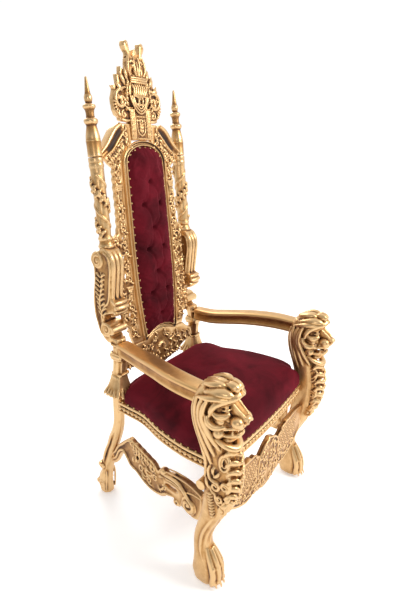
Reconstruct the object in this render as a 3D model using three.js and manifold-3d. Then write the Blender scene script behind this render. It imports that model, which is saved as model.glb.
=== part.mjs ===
// A tall carved throne chair: lion-headed front legs with the arms let into their manes, slender
// rear legs that rise as leaning posts with scroll consoles and turned spires, a pierced and crested
// back round an arched velvet pad, and carved stretchers under a bow-fronted seat.
// Millimetres, +Z up. The sitter faces -Y, and X = 0 is the plane of symmetry.

import * as THREE from 'three';
import { mergeVertices } from 'three/addons/utils/BufferGeometryUtils.js';
import Module from 'manifold-3d';

const wasm = await Module();
wasm.setup();

// Driving dimensions
const postX = 235; // a back post's axis from the plane of symmetry
const postFootY = 177.5; // where that axis would meet the floor
const lean = 0.1143; // how far the back goes back for each unit of height
const columnFoot = 1096; // the turned column stands in the console's top
const columnTop = 1424; // and the finial is set on the column
const spireTip = 1683;
const crownBallTop = 1823;

const lionX = 352; // middle of the lion's head and of the arm's front end
const rearFootX = 262;
const frontFootX = 352;
const consoleWidth = 64;

const railTop = 500;
const railHeight = 44;
const railThickness = 34;
const seatCrown = 618;
const seatEdge = 574;

const frameFront = 22; // the back's moulded frame, ahead of the posts' plane
const frameThickness = 36;
const frameFace = 20; // width of the moulding round the pad
const fretThickness = 18; // the pierced boards of the back
const stretcherThickness = 20;
const gap = 0.3; // clearance between pieces that meet

const gilt = { color: 0xcaa66a, roughness: 0.38, metalness: 0.7 };
const velvet = { color: 0x6d0f1e, roughness: 0.85, metalness: 0 };

const throne = new THREE.Group();
throne.name = 'throne';
throne.position.y = 3.2016; // sets the middle of the whole on Y = 0

// Solids: a geometry becomes a manifold solid to be joined or cut, and goes back to a geometry

function solidOf(geometry) {
  const bare = geometry.clone();
  bare.deleteAttribute('normal');
  bare.deleteAttribute('uv');
  const merged = mergeVertices(bare, 1e-3);
  return new wasm.Manifold(new wasm.Mesh({
    numProp: 3,
    vertProperties: merged.attributes.position.array,
    triVerts: merged.index.array,
  }));
}

function geometryOf(solid, side) {
  const { vertProperties, triVerts } = solid.getMesh();
  const geometry = new THREE.BufferGeometry();
  geometry.setAttribute('position', new THREE.BufferAttribute(vertProperties.slice(), 3));
  geometry.scale(side, 1, 1);
  const corners = side > 0 ? triVerts : triVerts.slice().reverse();
  geometry.setIndex(new THREE.BufferAttribute(corners, 1));
  return geometry;
}

function join(...solids) {
  return solids.flat().reduce((whole, solid) => whole.add(solid));
}

function addPiece(name, solid, finish, side = 1) {
  const mesh = new THREE.Mesh(geometryOf(solid, side), new THREE.MeshStandardMaterial(finish));
  mesh.name = name;
  throne.add(mesh);
}

// A paired piece is made for the +X side, the sitter's left, and mirrored for the right
function addPair(name, solid) {
  addPiece(`${name}_left`, solid, gilt);
  addPiece(`${name}_right`, solid, gilt, -1);
}

// Shaping tools

function moved(geometry, place) {
  const position = geometry.attributes.position;
  const point = new THREE.Vector3();
  for (let i = 0; i < position.count; i += 1) {
    point.fromBufferAttribute(position, i);
    place(point);
    position.setXYZ(i, point.x, point.y, point.z);
  }
  return solidOf(geometry);
}

function smooth(rows) {
  const points = rows.map((row) => new THREE.Vector3(...row));
  return new THREE.CatmullRomCurve3(points, false, 'catmullrom', 0.5);
}

// A carved bar through rows of [x, y, z, width along X, depth]. Its sections lie level, and the
// rows rise; in an upright bar they stand across Y, and the rows go back.
function bar(rows, sides, steps, { squareness = 3, upright = false, extra = 0 } = {}) {
  const path = smooth(rows.map(([x, y, z]) => [x, y, z]));
  const sizes = smooth(rows.map((row) => [row[3], row[4], 0]));
  const geometry = new THREE.CylinderGeometry(1, 1, 1, sides, steps);
  geometry.rotateY(Math.PI / sides);
  return moved(geometry, (point) => {
    const along = THREE.MathUtils.clamp(point.y + 0.5, 0, 1);
    const middle = path.getPoint(along);
    const size = sizes.getPoint(along);
    const rounding = (Math.abs(point.x) ** squareness + Math.abs(point.z) ** squareness)
      ** (1 / squareness);
    const spread = rounding < 1e-6 ? 0 : 1 / rounding;
    const across = point.x * spread * (size.x / 2 + extra);
    const through = point.z * spread * (size.y / 2 + extra);
    if (upright) {
      point.set(middle.x + across, middle.y, middle.z + through);
    } else {
      point.set(middle.x + across, middle.y - through, middle.z);
    }
  });
}

// An egg-shaped swelling, tilted about X, then turned about Z
function swelling([x, y, z], [rx, ry, rz], { tilt = 0, turn = 0, extra = 0 } = {}) {
  const geometry = new THREE.SphereGeometry(1, 7, 5);
  geometry.rotateX(Math.PI / 2);
  geometry.scale(rx + extra, ry + extra, rz + extra);
  geometry.rotateX(tilt);
  geometry.rotateZ(turn);
  geometry.translate(x, y, z);
  return solidOf(geometry);
}

// A volute or roller lying along X
function roller([x, y, z], radius, length, sides = 12) {
  const geometry = new THREE.CylinderGeometry(radius, radius, length, sides);
  geometry.rotateZ(Math.PI / 2);
  geometry.translate(x, y, z);
  return solidOf(geometry);
}

function extruded(shape, thickness, curveSegments) {
  const options = { depth: thickness, bevelEnabled: false, curveSegments };
  return new THREE.ExtrudeGeometry(shape, options);
}

function planeY(height) {
  return postFootY + lean * height;
}

// A board in the leaning plane of the back, its shape drawn in x and height
function leaningBoard(shape, front, thickness, curveSegments = 2) {
  return moved(extruded(shape, thickness, curveSegments), (point) => {
    const { x, y: height, z: through } = point;
    point.set(x, planeY(height) - front + thickness - through, height);
  });
}

// A board seen from the side, its shape drawn in y and height. Its middle is at x, or at
// the x that a function gives for each y.
function sideBoard(shape, middleX, thickness, curveSegments = 2) {
  return moved(extruded(shape, thickness, curveSegments), (point) => {
    const { x: y, y: height, z: through } = point;
    point.set(middleX(y) - thickness / 2 + through, y, height);
  });
}

// A level slab, its shape drawn in plan
function slab(shape, bottom, height, curveSegments = 2) {
  const geometry = extruded(shape, height, curveSegments);
  geometry.translate(0, 0, bottom);
  return solidOf(geometry);
}

function vectors(points) {
  return points.map(([x, y]) => new THREE.Vector2(x, y));
}

// A closed outline of stretches, each starting where the last ended: two points are a straight
// edge, three are a curve pulled towards the middle one, and more are passed through smoothly
function outline(...stretches) {
  const shape = new THREE.Shape();
  shape.moveTo(...stretches[0][0]);
  stretches.forEach((stretch) => {
    if (stretch.length === 2) {
      shape.lineTo(...stretch[1]);
    } else if (stretch.length === 3) {
      shape.quadraticCurveTo(...stretch[1], ...stretch[2]);
    } else {
      shape.splineThru(vectors(stretch.slice(1)));
    }
  });
  shape.closePath();
  return shape;
}

// An outline that is the same on both sides of X = 0, from its right half's stretches,
// which run from the bottom to the top
function symmetric(...stretches) {
  const mirrored = stretches.map((stretch) => stretch.map(([x, y]) => [-x, y]).reverse()).reverse();
  const top = [stretches.at(-1).at(-1), mirrored[0][0]];
  return outline(...stretches, top, ...mirrored);
}

// The leafy edge of a board: lobes of one length from start to end, bulging out to the right
function lobes([x1, y1], [x2, y2], count, bulge) {
  const along = new THREE.Vector2(x2 - x1, y2 - y1);
  const out = new THREE.Vector2(along.y, -along.x).setLength(bulge);
  return Array.from({ length: count }, (_, i) => {
    const point = (part) => [x1 + (along.x * (i + part)) / count, y1 + (along.y * (i + part)) / count];
    const [rx, ry] = point(0.6);
    return [point(0), [rx + out.x, ry + out.y], point(1)];
  });
}

// A pierced opening: a six-sided hole through a board, longest up or across by its half-sizes
function addHole(shape, [x, y], [rx, ry], turn = 0) {
  const centre = new THREE.Vector2(x, y);
  const corners = Array.from({ length: 6 }, (_, i) => {
    const angle = (i / 6) * Math.PI * 2;
    const corner = new THREE.Vector2(x + rx * Math.cos(angle), y + ry * Math.sin(angle));
    return corner.rotateAround(centre, turn);
  });
  shape.holes.push(new THREE.Path(corners));
}

function addHolePair(shape, [x, y], size) {
  addHole(shape, [x, y], size);
  addHole(shape, [-x, y], size);
}

// Front legs: a paw, a cabriole shin and knee, a leafy chest, and a lion's head with a mane

const frontLegRows = [
  [frontFootX, -264, 0, 70, 84],
  [frontFootX, -270, 28, 76, 112],
  [frontFootX, -266, 66, 74, 100],
  [frontFootX, -252, 108, 66, 82],
  [351, -244, 146, 62, 68],
  [350, -247, 190, 62, 64],
  [349, -257, 236, 62, 64],
  [348, -273, 286, 66, 76],
  [347, -290, 350, 74, 102],
  [346, -298, 415, 80, 120],
  [346, -304, 490, 86, 122],
  [347, -296, 560, 96, 132],
  [349, -278, 630, 112, 152],
  [lionX, -262, 695, 124, 150],
  [lionX, -266, 748, 116, 136],
  [lionX, -276, 788, 90, 104],
  [lionX, -282, 808, 46, 52],
];

const muzzleRows = [
  [lionX, -393, 708, 44, 30],
  [lionX, -380, 712, 58, 52],
  [lionX, -345, 722, 74, 78],
  [lionX, -290, 738, 100, 100],
];

const armRows = [
  [lionX, -236, 744, 60, 60],
  [347, -150, 745, 64, 62],
  [334, -80, 743, 66, 61],
  [310, 0, 738, 66, 59],
  [283, 80, 728, 65, 58],
  [259, 150, 721, 63, 57],
  [243, 236, 722, 58, 57],
];

const armSocket = bar(armRows, 12, 9, { squareness: 4, upright: true, extra: gap });

function toes(extra) {
  return [-27, -9, 9, 27].map((x, i) => {
    const setBack = i === 0 || i === 3 ? 9 : 0;
    return swelling([frontFootX + x, -308 + setBack, 24], [12, 26, 24], { extra });
  });
}

function face(extra) {
  return [
    bar(muzzleRows, 8, 3, { upright: true, extra }),
    swelling([lionX, -336, 784], [42, 24, 22], { tilt: -0.4, extra }),
    swelling([lionX, -304, 802], [40, 38, 19], { tilt: 0.2, extra }),
    swelling([lionX, -391, 728], [18, 10, 11], { extra }),
    swelling([lionX, -335, 616], [32, 36, 20], { tilt: 0.5, extra }),
    swelling([lionX - 24, -366, 700], [19, 26, 19], { extra }),
    swelling([lionX + 24, -366, 700], [19, 26, 19], { extra }),
  ];
}

// Locks that sweep from the brow round the cheek and down to the chest
function mane(extra) {
  return [-1, 1].flatMap((side) => [
    bar([
      [346 + side * 30, -318, 560, 34, 50],
      [350 + side * 50, -292, 620, 36, 64],
      [lionX + side * 62, -272, 690, 34, 70],
      [lionX + side * 58, -268, 750, 34, 62],
      [lionX + side * 42, -284, 790, 30, 44],
    ], 6, 5, { extra }),
    bar([
      [342 + side * 28, -282, 470, 26, 36],
      [345 + side * 38, -262, 540, 28, 42],
      [349 + side * 46, -240, 630, 28, 46],
      [lionX + side * 46, -232, 710, 26, 44],
    ], 6, 4, { extra }),
  ]);
}

function chest(extra) {
  return [
    swelling([347, -350, 552], [38, 38, 52], { extra }),
    swelling([346, -358, 480], [33, 30, 48], { extra }),
    swelling([347, -342, 405], [31, 32, 46], { extra }),
    swelling([348, -314, 340], [34, 32, 42], { extra }),
    roller([347, -243, 412], 22 + extra, 72 + 2 * extra, 8),
  ];
}

function lionLeg(extra) {
  return join(bar(frontLegRows, 10, 22, { extra }), toes(extra), face(extra), mane(extra), chest(extra));
}

const frontLegClearance = lionLeg(gap);
addPair('front_leg', lionLeg(0).subtract(armSocket));

// Rear posts: a slender leg on a scroll foot, a flared collar of leaves at the seat, the console
// above the arm, and a turned column wound with a garland, all of one length of timber

const rearPostRows = [
  [rearFootX, 334, 0, 57, 52],
  [rearFootX, 343, 36, 56, 66],
  [rearFootX, 341, 74, 54, 62],
  [260, 330, 112, 50, 48],
  [259, 328, 146, 50, 56],
  [257, 310, 192, 46, 46],
  [256, 300, 238, 46, 52],
  [254, 280, 300, 46, 56],
  [253, 262, 350, 46, 48],
  [252, 255, 400, 44, 44],
  [252, 256, 460, 44, 44],
  [251, 254, 540, 46, 46],
  [247, 249, 630, 50, 50],
  [243, 246, 700, 52, 52],
  [237, 256, 762, 52, 54],
];

const collarRows = [
  [250, 251, 522, 90, 90],
  [250, 251, 532, 96, 96],
  [250, 250, 558, 78, 78],
  [249, 249, 590, 60, 60],
  [248, 249, 606, 56, 56],
];

const neckRingRows = [
  [243, 246, 680, 50, 50],
  [243, 246, 688, 64, 64],
  [243, 246, 696, 64, 64],
  [243, 246, 704, 50, 50],
];

// The console: a scrolled bracket in side view, with a bound waist and an open eye below it
function consoleScroll(extra) {
  const shape = outline(
    [[272, 738], [296, 744], [328, 775], [343, 817], [353, 898], [342, 980], [338, 1030]],
    [[338, 1030], [320, 1098]],
    [[320, 1098], [290, 1112], [262, 1096], [250, 1040], [257, 980], [260, 922]],
    [[260, 922], [241, 912], [236, 890], [242, 872], [262, 864]],
    [[262, 864], [292, 852], [304, 822], [292, 786], [262, 762]],
    [[262, 762], [272, 738]],
  );
  const width = consoleWidth + 2 * extra;
  return [
    sideBoard(shape, () => postX, width),
    roller([postX, 322, 1062], 27 + extra, width + 6),
    roller([postX, 290, 794], 28 + extra, width + 6),
    roller([postX, 264, 793], 17 + extra, width - 6, 10),
  ];
}

// Turned work on a post's leaning axis, from rows of [radius, height] that rise
function turned(profile, sides = 10) {
  const stretch = Math.hypot(1, lean);
  const closed = [[0, profile[0][1]], ...profile, [0, profile.at(-1)[1]]];
  const points = closed.map(([radius, height]) => new THREE.Vector2(radius, height * stretch));
  const geometry = new THREE.LatheGeometry(points, sides);
  geometry.rotateX(Math.PI / 2 - Math.atan(lean));
  geometry.translate(postX, postFootY, 0);
  return solidOf(geometry);
}

const columnProfile = [
  [26, columnFoot], [26, 1112], [29, 1118], [25, 1126], [24, 1136], [27, 1143], [23, 1152],
  [25, 1200], [24, 1270], [25.5, 1390], [27.5, 1400], [25.5, 1408], [26, columnTop],
];

// The garland winds once and a half round the column
function garland() {
  const turns = 1.5;
  const foot = 1164;
  const rise = 206;
  const steps = 13;
  const windings = Array.from({ length: steps + 1 }, (_, i) => {
    const angle = (i / steps) * turns * Math.PI * 2 - 0.6;
    const height = foot + (i / steps) * rise;
    return [postX + 22 * Math.cos(angle), planeY(height) + 22 * Math.sin(angle), height];
  });
  const section = new THREE.Shape();
  section.absellipse(0, 0, 8, 8, 0, Math.PI * 2);
  const options = { steps, curveSegments: 3, bevelEnabled: false, extrudePath: smooth(windings) };
  return solidOf(new THREE.ExtrudeGeometry(section, options));
}

function post(extra) {
  const column = turned(columnProfile.map(([radius, height]) => [radius + extra, height]));
  return join(
    bar(rearPostRows, 8, 20, { squareness: 5, extra }),
    bar(collarRows, 12, 5, { squareness: 4, extra }),
    bar(neckRingRows, 8, 3, { extra }),
    consoleScroll(extra), column, garland());
}

const postClearance = post(gap);
addPair('rear_post', post(0).subtract(armSocket));

// A solid and its mirror image, for what reaches both sides
function bothSides(solid) {
  return join(solid, solidOf(geometryOf(solid, -1)));
}

const legsClearance = bothSides(frontLegClearance);
const postsClearance = bothSides(postClearance);

const finial = turned([
  [26, columnTop + gap], [26, 1470], [25, 1492], [17, 1530], [24.5, 1538], [24.5, 1548],
  [16, 1554], [15, 1580], [23, 1587], [23, 1593], [12, 1600], [15, 1614], [14, 1626],
  [5, 1677], [2, spireTip],
]);
addPair('finial', finial);

// Arms: flat on top with a rounded edge, let into the mane in front and into the post behind

addPair('arm', bar(armRows, 12, 9, { squareness: 4, upright: true }));

// Back frame: an arched moulding round the pad, waisted towards the seat

const frameSide = [[104, 696], [115, 790], [123, 900], [126, 1040], [123, 1220], [119, 1400]];
const archRise = 82;
const sillRise = 26; // the bottom moulding arches up this far

// The frame's outline, or one drawn inside it by an inset: the sides, a half ellipse, and the sill
function arch(inset) {
  const side = frameSide.map(([x, height], i) => [x - inset, height + (i === 0 ? inset : 0)]);
  const [half, spring] = side.at(-1);
  const top = Array.from({ length: 9 }, (_, i) => {
    const angle = ((i + 1) / 10) * Math.PI;
    return [half * Math.cos(angle), spring + (archRise - inset) * Math.sin(angle)];
  });
  const otherSide = side.map(([x, height]) => [-x, height]).reverse();
  const [foot, bottom] = side[0];
  const sill = [-0.5, 0, 0.5].map((part) => [part * foot, bottom + sillRise * (1 - part ** 2)]);
  return new THREE.Shape(vectors([...side, ...top, ...otherSide, ...sill]));
}

const frameClearance = leaningBoard(arch(-gap), frameFront + 40, frameThickness + 80);
const frameShape = arch(0);
frameShape.holes.push(arch(frameFace));
addPiece('back_frame', leaningBoard(frameShape, frameFront, frameThickness), gilt);

// The pad fills the frame, and an upholstered board closes it behind
const frameBack = frameThickness - frameFront;
const padFront = frameFront + 6;
const coverThickness = 10;
const padShape = arch(frameFace + gap);
const padThickness = padFront + frameBack - coverThickness - gap;
addPiece('back_pad', leaningBoard(padShape, padFront, padThickness), velvet);
addPiece('back_cover', leaningBoard(padShape, coverThickness - frameBack, coverThickness), velvet);

// Crest: crown, shield, scroll-and-shell wings and a fluted panel below them, carved as one

const panelHalf = 56;
const panelFoot = 1483;

function crestWings() {
  const shape = symmetric(
    [[40, 1545], [96, 1548]],
    [[96, 1548], [108, 1552], [102, 1560]],
    [[102, 1560], [122, 1562], [126, 1585]],
    [[126, 1585], [138, 1624], [116, 1654]],
    [[116, 1654], [123, 1667]],
    [[123, 1667], [96, 1674]],
    [[96, 1674], [98, 1707]],
    [[98, 1707], [80, 1704]],
    [[80, 1704], [75, 1735]],
    [[75, 1735], [58, 1722], [44, 1704]],
  );
  addHolePair(shape, [78, 1574], [7, 4]);
  return leaningBoard(shape, 10, 20);
}

function crown() {
  const shape = symmetric(
    [[38, 1690], [39, 1704]],
    [[39, 1704], [50, 1730], [44, 1752]],
    [[44, 1752], [36, 1780]],
    [[36, 1780], [49, 1790], [53, 1805]],
    [[53, 1805], [52, crownBallTop], [40, crownBallTop]],
    [[40, crownBallTop], [28, crownBallTop], [28, 1805]],
    [[28, 1805], [22, 1772]],
    [[22, 1772], [13, 1764], [12, 1778]],
    [[12, 1778], [12, 1796], [3, 1798]],
  );
  addHolePair(shape, [20, 1722], [6, 10]);
  return leaningBoard(shape, 18, 26);
}

function shield() {
  const field = symmetric([[4, 1577], [30, 1600], [47, 1628], [51, 1656], [40, 1688]]);
  const band = symmetric([[40, 1684], [40, 1700]]);
  return [leaningBoard(field, 20, 28), leaningBoard(band, 24, 32, 1)];
}

const panel = symmetric([[panelHalf, panelFoot], [panelHalf, 1600]]);
const crest = join(crestWings(), crown(), shield(), leaningBoard(panel, 16, 24));
addPiece('crest', crest.subtract(frameClearance), gilt);

// Gable: a swept moulding from each side of the crest down to the post

const gableFoot = [[99, 1510], [137, 1476], [170, 1440], [216, 1416]];
const gableTop = [[216, 1446], [186, 1474], [156, 1506], [128, 1534], [108, 1544]];
const gableShape = outline(
  gableFoot,
  [gableFoot.at(-1), gableTop[0]],
  gableTop,
  [gableTop.at(-1), gableFoot[0]],
);
const gableFront = 22;
const gableThickness = 34;
const finialClearance = turned([[26 + gap, 1410], [26 + gap, 1500]]);
const gable = leaningBoard(gableShape, gableFront, gableThickness)
  .subtract(postClearance).subtract(finialClearance);
addPair('gable', gable);

// Fretwork: a pierced board of scrolls and a small pilaster between the frame and each post

const fretFront = 12;
const fretHoles = [
  [[146, 766], [8, 14]], [[160, 826], [9, 14]], [[164, 878], [8, 12]], [[160, 984], [11, 16]],
  [[160, 1060], [10, 16]], [[152, 1130], [9, 12]], [[149, 1194], [9, 15]], [[152, 1262], [7, 7]],
  [[144, 1350], [8, 13]], [[140, 1404], [7, 9]], [[112, 1461], [10, 8]],
];

function fretwork() {
  const side = panelHalf + gap;
  const shape = outline(
    [[side, 1542], [side, 1440]],
    [[side, 1440], [100, 702]],
    [[100, 702], [158, 702]],
    [[158, 702], [172, 730], [176, 774]],
    [[176, 774], [204, 800]],
    [[204, 800], [204, 1136]],
    [[204, 1136], [180, 1150]],
    ...lobes([173, 1150], [168, 1236], 3, 9),
    ...lobes([168, 1236], [166, 1330], 3, 9),
    ...lobes([166, 1330], [162, 1384], 2, 12),
    [[162, 1384], [184, 1396], [204, 1422]],
    [[204, 1422], [168, 1450], [99, 1510 - gap]],
    [[99, 1510 - gap], [107, 1542]],
    [[107, 1542], [side, 1542]],
  );
  fretHoles.forEach(([place, size]) => addHole(shape, place, size));
  return leaningBoard(shape, fretFront, fretThickness);
}

const aboveGable = outline(
  gableFoot.map(([x, height]) => [x - gap, height - gap]),
  [[216 - gap, 1416 - gap], [260, 1700]],
  [[260, 1700], [99 - gap, 1700]],
  [[99 - gap, 1700], [99 - gap, 1510 - gap]],
);
const gableClearance = leaningBoard(aboveGable, gableFront + 1, gableThickness + 2);
addPair('fretwork', fretwork().subtract(frameClearance).subtract(postClearance)
  .subtract(finialClearance).subtract(gableClearance));

// Apron: a pierced leafy board under the back frame, from post to post

function apron() {
  const shape = symmetric(
    ...lobes([6, 566], [70, 576], 2, 10),
    ...lobes([70, 576], [136, 598], 2, 10),
    [[136, 598], [180, 614], [230, 620]],
    [[230, 620], [230, 656]],
    [[230, 656], [192, 664], [158, 700]],
    [[158, 700], [101, 700]],
    [[101, 700], [60, 726], [4, 728]],
  );
  const holes = [[26, 640], [62, 632], [98, 628], [80, 664]];
  holes.forEach((place, i) => addHolePair(shape, place, i % 2 ? [10, 7] : [7, 11]));
  return leaningBoard(shape, fretFront, fretThickness);
}

addPiece('apron', apron().subtract(frameClearance).subtract(postsClearance), gilt);

// Seat: four rails, bowed in front and swelling at the sides, under an upholstered dome

const seatSide = [[341, -296], [343, -210], [341, -130], [322, -20], [287, 90], [281, 170], [279, 236]];
const seatFrontY = -308;
const seatBow = 14; // how far the front rail bows
const seatBackY = 229;
const railBottom = railTop - railHeight;

const sideInner = seatSide.map(([x, y]) => [x - railThickness, y]).reverse();
const sideRail = slab(outline(
  seatSide,
  [seatSide.at(-1), sideInner[0]],
  sideInner,
  [sideInner.at(-1), seatSide[0]],
), railBottom, railHeight, 1);
addPair('side_rail', sideRail.subtract(frontLegClearance).subtract(postClearance));

const frontRailHalf = 306;
const bowPlan = [-1, -0.7, -0.35, 0, 0.35, 0.7, 1].map((part) => (
  [part * frontRailHalf, seatFrontY + seatBow * part ** 2]));
const bowInner = bowPlan.map(([x, y]) => [x, y + railThickness]).reverse();
const frontRail = slab(outline(
  bowPlan,
  [bowPlan.at(-1), bowInner[0]],
  bowInner,
  [bowInner.at(-1), bowPlan[0]],
), railBottom, railHeight, 1);

addPiece('front_rail', frontRail.subtract(legsClearance), gilt);

const backRailShape = symmetric([[250, railBottom], [250, railTop]]);
const backRailY = 238;
const backRail = moved(extruded(backRailShape, railThickness, 1), (point) => {
  point.set(point.x, backRailY + railThickness - point.z, point.y);
});
addPiece('back_rail', backRail.subtract(postsClearance), gilt);

function seatHalfWidth(y) {
  const i = Math.max(1, seatSide.findIndex(([, sideY]) => sideY >= y));
  const [[x1, y1], [x2, y2]] = i < 0 ? seatSide.slice(-2) : seatSide.slice(i - 1, i + 1);
  return THREE.MathUtils.mapLinear(THREE.MathUtils.clamp(y, y1, y2), y1, y2, x1, x2);
}

// The dome starts as a ball, spread to the seat's plan, with its lower half pressed flat
function seatCushion() {
  const inset = 5;
  const squareness = 6;
  const ballShape = new THREE.SphereGeometry(1, 22, 8);
  ballShape.rotateX(Math.PI / 2);
  return moved(ballShape, (point) => {
    const radius = Math.hypot(point.x, point.y);
    const rounding = (Math.abs(point.x) ** squareness + Math.abs(point.y) ** squareness)
      ** (1 / squareness);
    const spread = rounding < 1e-6 ? 0 : radius / rounding;
    const [u, v] = [point.x * spread, point.y * spread];
    const front = seatFrontY + inset + seatBow * u ** 2;
    const y = THREE.MathUtils.mapLinear(v, -1, 1, front, seatBackY);
    const crowned = seatEdge + (seatCrown - seatEdge) * (1 - radius ** 2.6);
    const z = point.z > -0.01 ? crowned : railTop + gap;
    const pressed = point.z > -0.01 ? 1 : Math.min(1, 1.05 / Math.max(radius, 0.5));
    point.set(u * pressed * (seatHalfWidth(y) - inset), y, z);
  });
}

addPiece('seat_cushion', seatCushion().subtract(legsClearance).subtract(postsClearance), velvet);

// Stretchers: pierced boards, arched and scrolled at the sides and a leafy cartouche in front

const sideStretcherX = (y) => 303 - 0.15 * y; // it runs in from the front leg to the rear one

function sideStretcher() {
  const shape = outline(
    [[-236, 232], [-200, 214], [-170, 216], [-132, 226]],
    [[-132, 226], [-122, 214], [-104, 216], [-92, 236]],
    [[-92, 236], [-60, 226], [-30, 200], [20, 190], [70, 198], [134, 222]],
    [[134, 222], [158, 222], [176, 256], [206, 270], [238, 222], [262, 184], [310, 168]],
    [[310, 168], [310, 222]],
    [[310, 222], [276, 232], [246, 282], [211, 320], [164, 362]],
    ...lobes([164, 362], [14, 322], 5, 6),
    [[14, 322], [-4, 304]],
    [[-4, 304], [-18, 324], [-36, 332], [-54, 322]],
    [[-54, 322], [-90, 334], [-130, 346], [-180, 348], [-232, 336]],
    [[-232, 336], [-236, 232]],
  );
  addHole(shape, [-80, 272], [40, 12], -0.1);
  addHole(shape, [118, 292], [7, 20], 0.5);
  addHole(shape, [50, 262], [14, 8]);
  return sideBoard(shape, sideStretcherX, stretcherThickness);
}

const stretcherVolute = sideBoard(
  outline(
    [[-208, 256], [-190, 226], [-160, 222], [-136, 244]],
    [[-136, 244], [-142, 276], [-172, 290], [-200, 280], [-208, 256]],
  ),
  sideStretcherX, stretcherThickness + 8);
const sideStretcherSolid = join(sideStretcher(), stretcherVolute);
addPair('side_stretcher', sideStretcherSolid.subtract(frontLegClearance).subtract(postClearance));

const frontStretcherY = -310;

function frontStretcher() {
  const shape = symmetric(
    ...lobes([5, 186], [50, 200], 1, 9),
    ...lobes([50, 200], [112, 214], 2, 9),
    [[112, 214], [170, 208], [224, 236]],
    [[224, 236], [270, 264], [316, 300]],
    [[316, 300], [316, 400]],
    [[316, 400], [240, 416], [150, 408]],
    [[150, 408], [148, 394], [112, 396]],
    [[112, 396], [106, 376], [74, 366]],
    [[74, 366], [40, 402], [4, 414]],
  );
  const holes = [[28, 254], [76, 250], [104, 304], [160, 280]];
  holes.forEach((place, i) => addHolePair(shape, place, i % 3 ? [7, 11] : [10, 6]));
  return moved(extruded(shape, stretcherThickness, 2), (point) => {
    point.set(point.x, frontStretcherY + stretcherThickness - point.z, point.y);
  });
}

addPiece('front_stretcher', frontStretcher().subtract(legsClearance), gilt);

export default throne;
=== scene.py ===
# A tall carved throne chair, gilded and antiqued, with a tufted velvet back and a domed velvet
# seat. Metres, +Z up. The sitter faces -Y, and X = 0 is the plane of symmetry.

import math

import bpy
import numpy as np
from mathutils import Matrix, Vector


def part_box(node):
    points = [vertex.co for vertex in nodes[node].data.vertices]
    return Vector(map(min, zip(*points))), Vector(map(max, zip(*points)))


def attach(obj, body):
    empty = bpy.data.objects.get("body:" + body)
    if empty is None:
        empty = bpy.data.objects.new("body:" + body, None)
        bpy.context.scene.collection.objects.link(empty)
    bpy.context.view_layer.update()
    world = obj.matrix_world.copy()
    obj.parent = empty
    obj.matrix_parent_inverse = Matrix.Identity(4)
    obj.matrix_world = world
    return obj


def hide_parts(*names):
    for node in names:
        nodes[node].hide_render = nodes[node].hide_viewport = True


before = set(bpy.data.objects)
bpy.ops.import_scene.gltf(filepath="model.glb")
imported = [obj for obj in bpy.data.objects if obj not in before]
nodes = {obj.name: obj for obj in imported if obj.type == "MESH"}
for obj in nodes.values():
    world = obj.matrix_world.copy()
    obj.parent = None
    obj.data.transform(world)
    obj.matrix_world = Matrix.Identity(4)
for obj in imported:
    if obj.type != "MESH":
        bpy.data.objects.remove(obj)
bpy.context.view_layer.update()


# Studio: a pale sweep under a soft key light on the front and a weaker fill behind, with the
# camera at the height of a standing person, looking down across the sitter's right arm.
scene = bpy.context.scene
scene.view_settings.view_transform = "Standard"
set_back = 0.0032  # the posts' foot is this far behind where the making sizes put it

bpy.ops.object.select_all(action="DESELECT")
bpy.ops.mesh.primitive_plane_add(size=12, location=(0, 0, -0.0005))
floor = bpy.context.object
floor.name = "studio_floor"
floor_paint = bpy.data.materials.new("white sweep")
floor_paint.use_nodes = True
floor_shader = floor_paint.node_tree.nodes["Principled BSDF"]
floor_shader.inputs["Base Color"].default_value = (0.95, 0.95, 0.95, 1)
floor_shader.inputs["Emission Color"].default_value = (1, 1, 1, 1)
floor_shader.inputs["Emission Strength"].default_value = 0.28
floor_shader.inputs["Roughness"].default_value = 0.9
floor_shader.inputs["Specular IOR Level"].default_value = 0.1
floor.data.materials.append(floor_paint)

camera_data = bpy.data.cameras.new("camera")
camera = bpy.data.objects.new("camera", camera_data)
scene.collection.objects.link(camera)
scene.camera = camera
camera_data.lens = 26.97
camera_data.sensor_width = 36
heading, pitch, roll = math.radians(55.25), math.radians(-19.68), math.radians(1.656)
camera.matrix_world = (
    Matrix.Translation((-1.3688, -0.9136 + set_back, 1.4949))
    @ Matrix.Rotation(-heading, 4, "Z")
    @ Matrix.Rotation(math.pi / 2 + pitch, 4, "X")
    @ Matrix.Rotation(roll, 4, "Z")
)

for name, place, aim, size, watts, tint in (
    ("key_light", (1.3, -3.0, 3.0), (0, 0, 0.8), 1.3, 90, (1.0, 0.97, 0.93)),
    ("side_fill", (-3.0, -1.8, 1.9), (0, 0, 0.8), 0.8, 14, (1.0, 0.95, 0.9)),
    ("back_light", (1.6, 2.6, 3.2), (0, 0, 1.0), 1.8, 60, (1.0, 1.0, 1.0)),
):
    light_data = bpy.data.lights.new(name, "AREA")
    light_data.energy = watts
    light_data.size = size
    light_data.color = tint
    light = bpy.data.objects.new(name, light_data)
    scene.collection.objects.link(light)
    light.location = place
    light.rotation_euler = (Vector(aim) - Vector(place)).to_track_quat("-Z", "Y").to_euler()

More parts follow.
